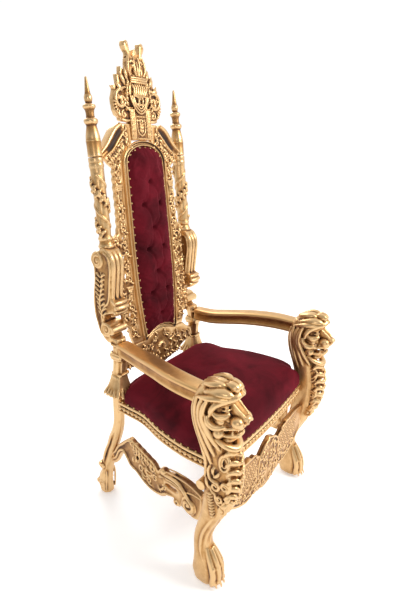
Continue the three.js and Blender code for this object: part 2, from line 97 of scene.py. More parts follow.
# The room is white where the throne stands against it and dimmer on the side it is seen from
world = bpy.data.worlds.new("studio")
world.use_nodes = True
room = world.node_tree.nodes["Background"]
heading_in = world.node_tree.nodes.new("ShaderNodeTexCoord")
facing = world.node_tree.nodes.new("ShaderNodeVectorMath")
facing.operation = "DOT_PRODUCT"
facing.inputs[1].default_value = (0.80, 0.55, 0.25)
world.node_tree.links.new(heading_in.outputs["Generated"], facing.inputs[0])
dimmed = world.node_tree.nodes.new("ShaderNodeMapRange")
dimmed.interpolation_type = "SMOOTHSTEP"
for socket, value in (("From Min", -0.75), ("From Max", 0.5), ("To Min", 0.30), ("To Max", 1.03)):
    dimmed.inputs[socket].default_value = value
world.node_tree.links.new(facing.outputs["Value"], dimmed.inputs["Value"])
world.node_tree.links.new(dimmed.outputs["Result"], room.inputs["Strength"])
room.inputs["Color"].default_value = (1, 1, 1, 1)
scene.world = world

# Front legs: each is one block of hardwood, carved as a paw, a cabriole shin with a leafy knee
# and chest, and a lion's head whose mane takes the arm. Gilded, then glazed with brown that is
# wiped off the high spots. Carved by building up gouge-rounded masses and working them as one.

def line_through(rows, steps):
    """Points on a smooth line through rows of numbers, with steps to each stretch."""
    rows = np.array(rows, float)
    ends = np.vstack([2 * rows[0] - rows[1], rows, 2 * rows[-1] - rows[-2]])
    found = []
    for i in range(len(rows) - 1):
        a, b, c, d = ends[i:i + 4]
        for t in np.arange(steps) / steps:
            found.append(0.5 * (2 * b + (c - a) * t + (2 * a - 5 * b + 4 * c - d) * t ** 2
                                + (3 * b - a - 3 * c + d) * t ** 3))
    return np.array(found + [rows[-1]])


def unit(vectors):
    return vectors / np.maximum(np.linalg.norm(vectors, axis=-1, keepdims=True), 1e-9)


def lock(rows, face=(0, -1, 0), away_from=None, steps=4, sides=8, squareness=2):
    """A rounded bar through rows of [x, y, z, half its width, half its depth], which lies flat
    to its face direction, or faces away from a point. The depth may be left out."""
    rows = [tuple(row) + (row[3],) * (5 - len(row)) for row in rows]
    line = line_through(rows, steps)
    middle, half = line[:, :3], np.maximum(line[:, 3:], 0.0004)
    along = unit(np.gradient(middle, axis=0))
    if callable(away_from):
        facing = unit(away_from(middle))
    elif away_from is not None:
        facing = unit(middle - np.array(away_from))
    else:
        facing = np.tile(unit(np.array(face, float)), (len(middle), 1))
    across = unit(np.cross(along, facing))
    out = np.cross(across, along)
    turn = np.linspace(0, 2 * math.pi, sides, endpoint=False) + math.pi / sides
    c, s = np.cos(turn), np.sin(turn)
    spread = (abs(c) ** squareness + abs(s) ** squareness) ** (-1 / squareness)
    ring = (middle[:, None]
            + across[:, None] * (half[:, :1] * c * spread)[:, :, None]
            + out[:, None] * (half[:, 1:2] * s * spread)[:, :, None])
    count = len(middle)
    faces = [(i * sides + j, (i + 1) * sides + j, (i + 1) * sides + (j + 1) % sides,
              i * sides + (j + 1) % sides) for i in range(count - 1) for j in range(sides)]
    faces += [tuple(range(sides)), tuple((count - 1) * sides + j for j in range(sides))[::-1]]
    return ring.reshape(-1, 3), faces


def egg(centre, radii, turn=(0, 0, 0), sides=14, rings=8):
    """A rounded mass, turned by degrees about X, Y and Z."""
    up = np.linspace(0, math.pi, rings + 1)[1:-1]
    around = np.linspace(0, 2 * math.pi, sides, endpoint=False)
    points = [(math.sin(u) * math.cos(a), math.sin(u) * math.sin(a), math.cos(u))
              for u in up for a in around] + [(0, 0, 1), (0, 0, -1)]
    top, bottom, last = len(points) - 2, len(points) - 1, (rings - 2) * sides
    faces = [(i * sides + j, (i + 1) * sides + j, (i + 1) * sides + (j + 1) % sides,
              i * sides + (j + 1) % sides) for i in range(rings - 2) for j in range(sides)]
    for j in range(sides):
        k = (j + 1) % sides
        faces += [(top, j, k), (bottom, last + k, last + j)]
    spin = np.eye(3)
    for axis, degrees in zip("XYZ", turn):
        spin = np.array(Matrix.Rotation(math.radians(degrees), 3, axis)) @ spin
    return (np.array(points) * radii) @ spin.T + np.array(centre), faces


def other_side(parts, middle=0.0):
    """The same masses mirrored across X = middle."""
    return [(verts * (-1, 1, 1) + (2 * middle, 0, 0), [face[::-1] for face in faces])
            for verts, faces in parts]


def solid_of(node):
    """The node's own shape with its loose triangles joined, in the making sizes."""
    mesh = nodes[node].data
    points = np.empty(len(mesh.vertices) * 3)
    mesh.vertices.foreach_get("co", points)
    points = points.reshape(-1, 3)
    keys, index = np.unique(np.round(points, 5), axis=0, return_inverse=True)
    faces = [tuple(int(index[v]) for v in face.vertices) for face in mesh.polygons]
    return keys - (0, set_back, 0), [face for face in faces if len(set(face)) == len(face)]


def mesh_object(name, parts):
    """One object from masses, moved to its place in the frame."""
    verts, faces, start = [], [], 0
    for points, polygons in parts:
        verts.append(points)
        faces += [tuple(v + start for v in polygon) for polygon in polygons]
        start += len(points)
    mesh = bpy.data.meshes.new(name)
    mesh.from_pydata((np.vstack(verts) + (0, set_back, 0)).tolist(), [], faces)
    mesh.update()
    piece = bpy.data.objects.new(name, mesh)
    scene.collection.objects.link(piece)
    return piece


def finished(piece, *modifiers):
    """Adds and applies modifiers, each given as its kind and its settings."""
    bpy.ops.object.select_all(action="DESELECT")
    piece.select_set(True)
    bpy.context.view_layer.objects.active = piece
    for kind, settings in modifiers:
        modifier = piece.modifiers.new(kind.lower(), kind)
        for setting, value in settings.items():
            setattr(modifier, setting, value)
        bpy.ops.object.modifier_apply(modifier=modifier.name)
    return piece


def mark_hollows(piece, depth, rounds=14):
    """Writes how deep each point lies in the carving, from 0 on a high spot to 1 in a hollow."""
    mesh = piece.data
    count = len(mesh.vertices)
    points = np.empty(count * 3)
    mesh.vertices.foreach_get("co", points)
    points = points.reshape(-1, 3)
    normals = np.empty(count * 3)
    mesh.vertices.foreach_get("normal", normals)
    normals = normals.reshape(-1, 3)
    edges = np.empty(len(mesh.edges) * 2, dtype=np.int64)
    mesh.edges.foreach_get("vertices", edges)
    a, b = edges.reshape(-1, 2).T
    number = np.bincount(a, minlength=count) + np.bincount(b, minlength=count)
    number = np.maximum(number, 1)[:, None]

    def eased(values):
        total = np.empty_like(values)
        for k in range(values.shape[1]):
            total[:, k] = (np.bincount(a, values[b, k], count)
                           + np.bincount(b, values[a, k], count))
        return 0.5 * values + 0.5 * total / number

    near = points
    for _ in range(4):
        near = eased(near)
    far = near
    for _ in range(rounds * 4):
        far = eased(far)
    fine = np.einsum("ij,ij->i", near - points, normals) / (depth * 0.25)
    broad = np.einsum("ij,ij->i", far - points, normals) / depth
    hollow = eased(np.clip(0.2 + 0.28 * fine + 0.5 * broad, 0, 1)[:, None])[:, 0]
    layer = mesh.attributes.new("hollow", "FLOAT", "POINT")
    layer.data.foreach_set("value", hollow.astype(np.float32))


def carved(name, parts, grain, ease=2, depth=0.004, most=50000):
    """Works masses into one carved piece: grain is how fine the tool marks are, and most is how
    many triangles the piece may keep once its flatter places are thinned."""
    piece = mesh_object(name, parts)
    finished(piece, ("REMESH", {"mode": "VOXEL", "voxel_size": grain, "adaptivity": 0.0}),
             ("SMOOTH", {"factor": 0.5, "iterations": ease}))
    bpy.ops.object.shade_smooth()
    mark_hollows(piece, depth)
    ratio = min(1.0, most / (2 * len(piece.data.polygons)))
    finished(piece, ("DECIMATE", {"ratio": ratio}))
    bpy.ops.object.shade_smooth()
    return piece


def linear(code):
    """A paint chip's hex code as the linear colour a shader takes."""
    shares = [int(code[i:i + 2], 16) / 255 for i in (0, 2, 4)]
    return tuple(c / 12.92 if c <= 0.04045 else ((c + 0.055) / 1.055) ** 2.4
                 for c in shares) + (1,)


def add_node(material, kind, settings=None, **inputs):
    """Adds a shader node, sets it, and feeds its inputs with numbers or with other sockets."""
    node = material.node_tree.nodes.new(kind)
    for name, value in (settings or {}).items():
        setattr(node, name, value)
    for name, value in inputs.items():
        socket = node.inputs[int(name[1:]) if name[0] == "_" and name[1:].isdigit()
                             else name.replace("_", " ")]
        if isinstance(value, bpy.types.NodeSocket):
            material.node_tree.links.new(value, socket)
        else:
            socket.default_value = value
    return node


def stops(ramp, *pairs):
    """Sets a colour ramp's stops from pairs of place and colour."""
    elements = ramp.color_ramp.elements
    for _ in range(len(pairs) - len(elements)):
        elements.new(0.5)
    for element, (place, colour) in zip(elements, pairs):
        element.position = place
        element.color = colour
    return ramp.outputs["Color"]


def gilding(name, glaze, high, low, brown):
    """Champagne gilding rubbed over brown size: bright on the high spots, with glaze left in the
    hollows, cloudy patches a hand wide, and fine scuffs."""
    material = bpy.data.materials.new(name)
    material.use_nodes = True
    shader = material.node_tree.nodes["Principled BSDF"]
    place = add_node(material, "ShaderNodeTexCoord").outputs["Object"]
    hollow = add_node(material, "ShaderNodeAttribute", {"attribute_name": "hollow"}).outputs["Fac"]
    cloud = add_node(material, "ShaderNodeTexNoise", Vector=place, Scale=26.0, Detail=5.0,
                     Roughness=0.62).outputs["Fac"]
    speck = add_node(material, "ShaderNodeTexNoise", Vector=place, Scale=310.0, Detail=4.0,
                     Roughness=0.65).outputs["Fac"]
    stirred = add_node(material, "ShaderNodeMath", {"operation": "MULTIPLY_ADD"}, _0=cloud,
                       _1=0.34, _2=hollow).outputs[0]
    depth = add_node(material, "ShaderNodeMath", {"operation": "MULTIPLY_ADD"}, _0=speck,
                     _1=0.16, _2=stirred).outputs[0]
    ramp = add_node(material, "ShaderNodeValToRGB", Fac=depth)
    colour = stops(ramp, (0.32, linear(high)), (0.52, linear(low)), (0.54 + glaze, linear(brown)),
                   (0.92, linear("2E190A")))
    material.node_tree.links.new(colour, shader.inputs["Base Color"])
    metal = add_node(material, "ShaderNodeMapRange", Value=depth, From_Min=0.5, From_Max=0.9,
                     To_Min=0.85, To_Max=0.2).outputs[0]
    material.node_tree.links.new(metal, shader.inputs["Metallic"])
    rough = add_node(material, "ShaderNodeMapRange", Value=depth, From_Min=0.35, From_Max=0.95,
                     To_Min=0.33, To_Max=0.62).outputs[0]
    material.node_tree.links.new(rough, shader.inputs["Roughness"])
    grain = add_node(material, "ShaderNodeTexNoise", Vector=place, Scale=170.0, Detail=3.0)
    bump = add_node(material, "ShaderNodeBump", Strength=0.22, Distance=0.0012,
                    Height=grain.outputs["Fac"])
    material.node_tree.links.new(bump.outputs["Normal"], shader.inputs["Normal"])
    return material


carved_gilt = gilding("champagne_gilding_antiqued", 0.16, "E2BC88", "BC8D55", "6E4420")


def ring_round(centre, half_wide, half_high, thick, turn=0.0, share=1.0, begin=0.0):
    """Rows of an oval moulding on the leg's side, in Y and height."""
    x, y, z = centre
    rows = []
    for i in range(19):
        a = begin + i / 18 * 2 * math.pi * share
        across, up = half_wide * math.cos(a), half_high * math.sin(a)
        rows.append((x, y + across * math.cos(turn) - up * math.sin(turn),
                     z + across * math.sin(turn) + up * math.cos(turn), thick))
    return rows


def scroll(centre, radius, thick, turns=1.5, begin=0.0, direction=1, tail=()):
    """Rows of a scroll that winds in to an eye, with an optional tail before it."""
    x, y, z = centre
    steps = int(turns * 10) + 1
    rows = list(tail)
    for i in range(steps):
        share = i / (steps - 1)
        a = begin + direction * share * turns * 2 * math.pi
        r = radius * (1 - 0.82 * share)
        rows.append((x, y + r * math.cos(a), z + r * math.sin(a), thick * (1 - 0.35 * share)))
    return rows

# The leg's masses, for the sitter's left side: places are across from the middle of the lion's
# head, back from the posts' foot, and up from the floor.
leg_low, leg_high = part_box("front_leg_left")
lion_x = (leg_low[0] + leg_high[0]) / 2


def at_lion(rows):
    return [(row[0] + lion_x,) + tuple(row[1:]) for row in rows]


def pair_on_lion(parts):
    return parts + other_side(parts, lion_x)


def locks_on_lion(table, **ways):
    return [lock(at_lion(rows), **ways) for rows in table]


leg_body = [lock(at_lion([
    (0, -0.262, 0.004, 0.033, 0.040), (0, -0.266, 0.030, 0.036, 0.052),
    (0, -0.266, 0.066, 0.036, 0.050), (0, -0.260, 0.108, 0.033, 0.043),
    (-0.001, -0.249, 0.146, 0.030, 0.034), (-0.002, -0.247, 0.190, 0.028, 0.031),
    (-0.003, -0.257, 0.236, 0.029, 0.031), (-0.004, -0.273, 0.286, 0.031, 0.036),
    (-0.005, -0.290, 0.350, 0.033, 0.046), (-0.006, -0.300, 0.415, 0.034, 0.050),
    (-0.006, -0.303, 0.490, 0.034, 0.050), (-0.005, -0.297, 0.560, 0.037, 0.044),
    (-0.003, -0.280, 0.630, 0.044, 0.050), (0, -0.266, 0.695, 0.050, 0.055),
    (0, -0.264, 0.745, 0.050, 0.056), (0, -0.270, 0.780, 0.036, 0.044)]),
    face=(0, -1, 0), squareness=2.6, sides=24, steps=5)]

# The head: skull, a flat bridge of two planes, nose, and the lower jaw held well open
head = [
    egg((lion_x, -0.288, 0.738), (0.052, 0.060, 0.056)),
    lock(at_lion([(0, -0.322, 0.760, 0.024, 0.016), (0, -0.338, 0.747, 0.0205, 0.0165),
                  (0, -0.362, 0.729, 0.0195, 0.0155), (0, -0.385, 0.716, 0.017, 0.013)]),
         face=(0, -0.6, 0.8), squareness=5, sides=20),
    lock(at_lion([(0, -0.300, 0.715, 0.042, 0.026), (0, -0.330, 0.711, 0.036, 0.022),
                  (0, -0.360, 0.707, 0.028, 0.016), (0, -0.376, 0.705, 0.020, 0.012)]),
         face=(0, 0, 1), sides=16),
    egg((lion_x, -0.391, 0.7215), (0.0165, 0.0105, 0.0105), (20, 0, 0)),
    egg((lion_x, -0.388, 0.708), (0.007, 0.008, 0.010)),
    egg((lion_x, -0.336, 0.645), (0.027, 0.036, 0.0095), (-8, 0, 0)),
    egg((lion_x, -0.328, 0.632), (0.032, 0.030, 0.013), (-12, 0, 0)),
    egg((lion_x, -0.345, 0.655), (0.013, 0.022, 0.006), (-8, 0, 0)),
]
half_head = [
    egg((lion_x + 0.0235, -0.366, 0.7105), (0.0195, 0.0235, 0.0185), (10, 0, 14)),
    egg((lion_x + 0.011, -0.396, 0.717), (0.0055, 0.006, 0.0055)),
    egg((lion_x + 0.0335, -0.3345, 0.7545), (0.0072, 0.0072, 0.0060)),
    egg((lion_x + 0.044, -0.316, 0.712), (0.014, 0.024, 0.014), (0, 0, 24)),
    egg((lion_x + 0.040, -0.314, 0.661), (0.0175, 0.0185, 0.0185)),
    *locks_on_lion([
        # the brow: a broad plane that runs out from between the eyes and down the temple
        [(0.003, -0.360, 0.794, 0.011, 0.010), (0.023, -0.352, 0.787, 0.0125, 0.012),
         (0.042, -0.331, 0.778, 0.0125, 0.012), (0.054, -0.309, 0.763, 0.0115, 0.011),
         (0.0585, -0.296, 0.742, 0.0095, 0.010), (0.058, -0.292, 0.722, 0.006, 0.006)],
        [(0.004, -0.350, 0.776, 0.006), (0.019, -0.346, 0.771, 0.0062),
         (0.034, -0.336, 0.765, 0.0058), (0.045, -0.322, 0.757, 0.004)],
        # lower lid, then the bright cheek under it and the crescent outside that
        [(0.024, -0.343, 0.746, 0.0028), (0.036, -0.3375, 0.7445, 0.0034),
         (0.046, -0.325, 0.747, 0.002)],
        [(0.031, -0.345, 0.735, 0.006), (0.043, -0.336, 0.729, 0.0105),
         (0.053, -0.319, 0.727, 0.0115), (0.0585, -0.303, 0.734, 0.007)],
        [(0.0635, -0.284, 0.724, 0.007), (0.0645, -0.290, 0.704, 0.011),
         (0.059, -0.306, 0.691, 0.0125), (0.049, -0.325, 0.690, 0.010),
         (0.040, -0.338, 0.693, 0.005)],
        # the bridge's edge
        [(0.016, -0.345, 0.762, 0.0040), (0.0145, -0.366, 0.745, 0.0042),
         (0.0125, -0.385, 0.731, 0.0040)],
        # the lips round the open mouth
        [(0.010, -0.382, 0.694, 0.006), (0.024, -0.374, 0.6925, 0.0062),
         (0.036, -0.352, 0.689, 0.0055), (0.042, -0.332, 0.681, 0.0045)],
        [(0.002, -0.371, 0.661, 0.0075), (0.016, -0.366, 0.660, 0.0072),
         (0.027, -0.348, 0.657, 0.0062), (0.034, -0.330, 0.654, 0.0055)],
        # side teeth
        [(0.0175, -0.372, 0.692, 0.0046), (0.0175, -0.370, 0.680, 0.0034),
         (0.017, -0.368, 0.670, 0.0008)],
        [(0.0245, -0.352, 0.661, 0.0042), (0.024, -0.354, 0.672, 0.003),
         (0.0235, -0.355, 0.681, 0.0008)],
    ], away_from=(lion_x, -0.290, 0.715)),
]
for x in (0.0045, 0.0115):
    half_head.append(lock(at_lion([(x, -0.378, 0.692, 0.0034), (x, -0.377, 0.682, 0.0024)])))
    half_head.append(lock(at_lion([(x, -0.373, 0.660, 0.0034), (x, -0.374, 0.671, 0.0024)])))

# The mane: a forelock of a few heavy rolled tufts, and long shallow locks behind the cheek that
# run down the side to the chest
forelock = locks_on_lion([
    [(0.006, -0.352, 0.803, 0.011, 0.010), (0.008, -0.347, 0.812, 0.015, 0.014),
     (0.010, -0.330, 0.818, 0.013, 0.012), (0.011, -0.312, 0.813, 0.006, 0.006)],
    [(0.026, -0.350, 0.792, 0.007, 0.007), (0.034, -0.338, 0.799, 0.014, 0.010),
     (0.043, -0.312, 0.801, 0.016, 0.011), (0.043, -0.284, 0.792, 0.014, 0.010),
     (0.036, -0.258, 0.782, 0.008, 0.008)],
    [(0.018, -0.322, 0.812, 0.006, 0.006), (0.027, -0.304, 0.817, 0.012, 0.010),
     (0.030, -0.280, 0.813, 0.014, 0.011), (0.024, -0.250, 0.803, 0.009, 0.008)],
    [(0.042, -0.342, 0.786, 0.005, 0.005), (0.053, -0.318, 0.785, 0.009, 0.007),
     (0.060, -0.288, 0.780, 0.010, 0.008), (0.056, -0.262, 0.772, 0.008, 0.007),
     (0.048, -0.240, 0.764, 0.005, 0.005)],
    [(0.0, -0.316, 0.814, 0.008, 0.007), (0.002, -0.292, 0.813, 0.014, 0.010),
     (0.006, -0.262, 0.806, 0.013, 0.010), (0.008, -0.238, 0.796, 0.008, 0.008)],
], away_from=(lion_x, -0.290, 0.735))
side_locks = locks_on_lion([
    [(0.060, -0.282, 0.770, 0.006), (0.0625, -0.270, 0.740, 0.010, 0.008),
     (0.060, -0.268, 0.700, 0.011, 0.009), (0.054, -0.284, 0.660, 0.011, 0.009),
     (0.046, -0.304, 0.625, 0.009, 0.008), (0.038, -0.322, 0.598, 0.005)],
    [(0.054, -0.262, 0.772, 0.006), (0.056, -0.252, 0.735, 0.011, 0.008),
     (0.052, -0.250, 0.690, 0.012, 0.008), (0.046, -0.264, 0.645, 0.012, 0.008),
     (0.040, -0.284, 0.600, 0.010, 0.008), (0.035, -0.302, 0.565, 0.005)],
    [(0.048, -0.238, 0.765, 0.006), (0.050, -0.232, 0.725, 0.011, 0.008),
     (0.045, -0.234, 0.680, 0.012, 0.008), (0.040, -0.248, 0.625, 0.012, 0.008),
     (0.035, -0.270, 0.572, 0.010, 0.008), (0.032, -0.288, 0.528, 0.005)],
    [(0.036, -0.221, 0.750, 0.006), (0.037, -0.217, 0.705, 0.011, 0.008),
     (0.033, -0.224, 0.650, 0.011, 0.008), (0.029, -0.247, 0.585, 0.010, 0.008),
     (0.027, -0.264, 0.520, 0.007), (0.026, -0.262, 0.462, 0.004)],
    [(0.015, -0.213, 0.745, 0.008), (0.015, -0.211, 0.700, 0.010, 0.008),
     (0.013, -0.224, 0.640, 0.010, 0.008), (0.010, -0.248, 0.570, 0.009, 0.008),
     (0.008, -0.255, 0.500, 0.006)],
], away_from=(lion_x, -0.275, 0.66))

# The chest: a bright rolled collar under the jaw, then a bib of leaves either side of a row of
# beads, swelling forward over the leafy knee
def chest_front(height):
    levels = (0.330, 0.360, 0.400, 0.450, 0.507, 0.560, 0.610)
    fronts = (-0.334, -0.352, -0.370, -0.383, -0.387, -0.378, -0.364)
    return float(np.interp(height, levels, fronts))


chest = [
    egg((lion_x - 0.004, -0.335, 0.560), (0.030, 0.036, 0.050)),
    egg((lion_x - 0.005, -0.342, 0.500), (0.029, 0.036, 0.050)),
    egg((lion_x - 0.005, -0.336, 0.440), (0.028, 0.038, 0.050)),
    egg((lion_x - 0.005, -0.320, 0.375), (0.027, 0.036, 0.050)),
    egg((lion_x - 0.004, -0.300, 0.325), (0.026, 0.030, 0.040)),
    lock([(x + lion_x, y, z, half, 0.8 * half) for x, y, z, half in (
        (-0.043, -0.306, 0.640, 0.007), (-0.037, -0.332, 0.624, 0.012), (-0.020, -0.354, 0.611, 0.014),
        (0.0, -0.362, 0.606, 0.014), (0.020, -0.354, 0.611, 0.014), (0.037, -0.332, 0.624, 0.012),
        (0.043, -0.306, 0.640, 0.007))], face=(0, 0, 1), sides=14),
]
for i in range(9):
    height = 0.582 - 0.0275 * i
    chest.append(egg((lion_x - 0.004, chest_front(height) + 0.003, height), (0.0088 - 0.0002 * i,) * 3))
half_chest = []
for i in range(7):
    height = 0.590 - 0.033 * i
    front = chest_front(height) + 0.004
    reach = 0.037 - 0.0012 * i
    half_chest.append(lock(at_lion([
        (0.003, front, height - 0.010, 0.005, 0.004),
        (0.45 * reach, front + 0.002, height + 0.004, 0.0095, 0.006),
        (0.85 * reach, front + 0.014, height + 0.006, 0.0105, 0.006),
        (reach, front + 0.030, height - 0.010, 0.006, 0.005)]),
        away_from=(lion_x, -0.290, height)))
    half_chest.append(lock(at_lion([
        (0.010, front - 0.002, height - 0.004, 0.0022), (0.5 * reach, front - 0.002, height + 0.006, 0.003),
        (0.9 * reach, front + 0.011, height + 0.003, 0.002)]),
        away_from=(lion_x, -0.310, height)))


# The sides: an oval cartouche, S-scrolls under it, a gadrooned strip and a rosette at the knee
side_face = (1, 0, 0)
flank = 0.031


def flank_scroll(y, z, radius, thick, begin, direction, tail=()):
    rows = scroll((flank, y, z), radius, thick, 1.35, begin, direction,
                  [(flank - 0.001,) + tuple(row) for row in tail])
    return lock(at_lion(rows), face=side_face, steps=2)


def flank_leaf(y, z, length, angle, thick=0.0062, bend=0.5):
    rows = []
    for part, half in ((0.0, 0.4), (0.35, 1.0), (0.7, 0.8), (1.0, 0.15)):
        a = math.radians(angle) + bend * part
        rows.append((flank + 0.001, y + length * part * math.cos(a), z + length * part * math.sin(a),
                     thick * half))
    return lock(at_lion(rows), face=side_face, steps=3)


side_carving = [
    lock(at_lion(ring_round((flank + 0.001, -0.337, 0.553), 0.018, 0.031, 0.0046, 0.15)), face=side_face,
         steps=1),
    lock(at_lion(ring_round((flank + 0.001, -0.337, 0.553), 0.0085, 0.018, 0.0028, 0.15)), face=side_face,
         steps=1),
    flank_scroll(-0.305, 0.447, 0.019, 0.0062, 1.2, 1,
                 [(-0.282, 0.520, 0.003), (-0.276, 0.495, 0.0055), (-0.284, 0.470, 0.0062)]),
    flank_scroll(-0.343, 0.460, 0.017, 0.0058, 2.6, -1,
                 [(-0.352, 0.515, 0.003), (-0.360, 0.496, 0.0055), (-0.360, 0.478, 0.0058)]),
    flank_scroll(-0.322, 0.405, 0.015, 0.0052, 0.4, -1,
                 [(-0.286, 0.440, 0.003), (-0.292, 0.424, 0.005), (-0.304, 0.418, 0.005)]),
    flank_scroll(-0.334, 0.364, 0.019, 0.0052, 1.4, 1, [(-0.306, 0.396, 0.003), (-0.316, 0.386, 0.005)]),
    flank_leaf(-0.320, 0.510, 0.040, -80), flank_leaf(-0.300, 0.520, 0.034, -60, bend=-0.5),
    flank_leaf(-0.362, 0.470, 0.036, -80, bend=0.3), flank_leaf(-0.362, 0.430, 0.036, -75, bend=0.4),
    flank_leaf(-0.352, 0.398, 0.032, -70, bend=0.4), flank_leaf(-0.270, 0.470, 0.045, -95, bend=-0.2),
    egg((lion_x + flank, -0.334, 0.364), (0.006, 0.009, 0.009)),
]
for i in range(9):
    share = i / 8
    side_carving.append(egg((lion_x + flank, -0.284 - 0.016 * share, 0.408 - 0.088 * share),
                            (0.0045, 0.0115, 0.0040), (-14 - 16 * share, 0, 0), 10, 6))
for i in range(6):
    a = i / 6 * 2 * math.pi
    side_carving.append(egg((lion_x + flank - 0.001, -0.334 + 0.0105 * math.cos(a),
                             0.364 + 0.0105 * math.sin(a)),
                            (0.0045, 0.0048, 0.0048), (0, 0, 0), 8, 6))

# The shin: three ribs run down it from the knee to the paw, with hollows between
shin = []
for x, front, thick in ((0.0, 0.0, 0.0085), (0.0155, 0.005, 0.0075), (-0.0155, 0.005, 0.0075),
                        (0.0265, 0.018, 0.006), (-0.0265, 0.018, 0.006)):
    shin.append(lock(at_lion([
        (x * 0.9 - 0.004, -0.330 + front, 0.330, thick * 0.5),
        (x * 0.95 - 0.003, -0.306 + front, 0.285, thick),
        (x - 0.002, -0.284 + front, 0.235, thick), (x - 0.001, -0.273 + front, 0.190, thick),
        (x, -0.273 + front, 0.146, thick), (x * 1.05, -0.286 + front, 0.108, thick),
        (x * 1.15, -0.304 + front, 0.070, thick * 0.8)]), face=(0, -1, 0.2)))

# The paw: four rounded toes with high knuckles and short claws
paw = []
for x, back, thick in ((-0.0265, 0.010, 0.0115), (-0.009, 0.0, 0.0125), (0.009, 0.0, 0.0125),
                       (0.0265, 0.010, 0.0115)):
    paw.append(lock(at_lion([
        (x * 0.6, -0.284 + back, 0.150, 0.007), (x * 0.8, -0.300 + back, 0.118, thick * 0.9),
        (x * 0.95, -0.314 + back, 0.088, thick), (x, -0.322 + back, 0.056, thick),
        (x, -0.320 + back, 0.026, thick * 0.95), (x, -0.317 + back, 0.008, thick * 0.7)]),
        face=(0, -1, 0.4), sides=12))
    paw.append(egg((lion_x + x * 0.95, -0.317 + back, 0.082), (thick * 1.06, 0.0125, 0.016)))
    paw.append(egg((lion_x + x, -0.322 + back, 0.030), (thick * 1.06, 0.0125, 0.018)))
    paw.append(lock(at_lion([(x, -0.331 + back, 0.026, 0.0045), (x, -0.337 + back, 0.015, 0.0036),
                             (x, -0.338 + back, 0.005, 0.0012)]), face=(0, -1, 0)))
paw.append(lock(at_lion([(0, -0.262, 0.004, 0.033, 0.036), (0, -0.262, 0.020, 0.034, 0.037),
                         (0, -0.260, 0.036, 0.032, 0.034)]), squareness=3, sides=20))

# The small volute behind the knee, lying across the leg
volute = [lock(at_lion([(-0.037, -0.246, 0.418, 0.019), (-0.030, -0.246, 0.418, 0.0175),
                        (0.022, -0.246, 0.418, 0.0175), (0.029, -0.246, 0.418, 0.019)]),
               face=(0, 0, 1), sides=16)]

sided = half_head + forelock + side_locks + half_chest + side_carving
lion_leg = leg_body + head + pair_on_lion(sided) + chest + shin + paw + volute
front_leg_left = carved("carved_lion_leg_left", lion_leg, 0.0021, 2, 0.0045, 96000)
front_leg_right = carved("carved_lion_leg_right", other_side(lion_leg), 0.0021, 2, 0.0045, 96000)
for leg, node in ((front_leg_left, "front_leg_left"), (front_leg_right, "front_leg_right")):
    leg.data.materials.append(carved_gilt)
    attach(leg, "root")
    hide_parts(node)


# Rear posts: each is one length of hardwood. Sawn and carved below as a square leg on a scroll
# foot with a collar of leaves, then a scrolled console with a bound waist, then turned as a
# slender column round which a leafy garland is carved. It leans back from the arm upwards.
post_low, post_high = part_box("finial_left")
post_x = (post_low[0] + post_high[0]) / 2
foot_back, lean = 0.1775, 0.1143


def plane_y(height):
    return foot_back + lean * height


def softened(node, grain, ease):
    """The node's solid with its facets worked away, as masses to carve on."""
    piece = mesh_object("rough_" + node, [solid_of(node)])
    finished(piece, ("REMESH", {"mode": "VOXEL", "voxel_size": grain}),
             ("SMOOTH", {"factor": 0.5, "iterations": ease}))
    mesh = piece.data
    points = np.empty(len(mesh.vertices) * 3)
    mesh.vertices.foreach_get("co", points)
    faces = [tuple(face.vertices) for face in mesh.polygons]
    bpy.data.objects.remove(piece)
    return points.reshape(-1, 3) - (0, set_back, 0), faces


def turned(profile, sides=40):
    """Turned work on the post's leaning axis, from rows of radius and height that rise."""
    tilt = math.hypot(1, lean)
    around = np.linspace(0, 2 * math.pi, sides, endpoint=False)
    verts = []
    for radius, height in profile:
        for a in around:
            back = radius * math.sin(a)
            verts.append((post_x + radius * math.cos(a), plane_y(height) + back / tilt,
                          height - back * lean / tilt))
    count = len(profile)
    faces = [(i * sides + j, i * sides + (j + 1) % sides, (i + 1) * sides + (j + 1) % sides,
              (i + 1) * sides + j) for i in range(count - 1) for j in range(sides)]
    faces += [tuple(range(sides))[::-1], tuple((count - 1) * sides + j for j in range(sides))]
    return np.array(verts), faces


def off_post(middle):
    """Which way a point on the column faces."""
    return middle - np.stack([np.full(len(middle), post_x), plane_y(middle[:, 2]), middle[:, 2]], 1)


column = turned([
    (0.026, 1.094), (0.0262, 1.108), (0.029, 1.111), (0.0295, 1.116), (0.027, 1.121), (0.0235, 1.125),
    (0.0235, 1.136), (0.0262, 1.139), (0.027, 1.143), (0.0255, 1.147), (0.022, 1.150), (0.0225, 1.20),
    (0.0232, 1.28), (0.0242, 1.385), (0.0262, 1.394), (0.0268, 1.399), (0.0252, 1.404), (0.0245, 1.407),
    (0.0262, 1.410), (0.0262, 1.4236)])

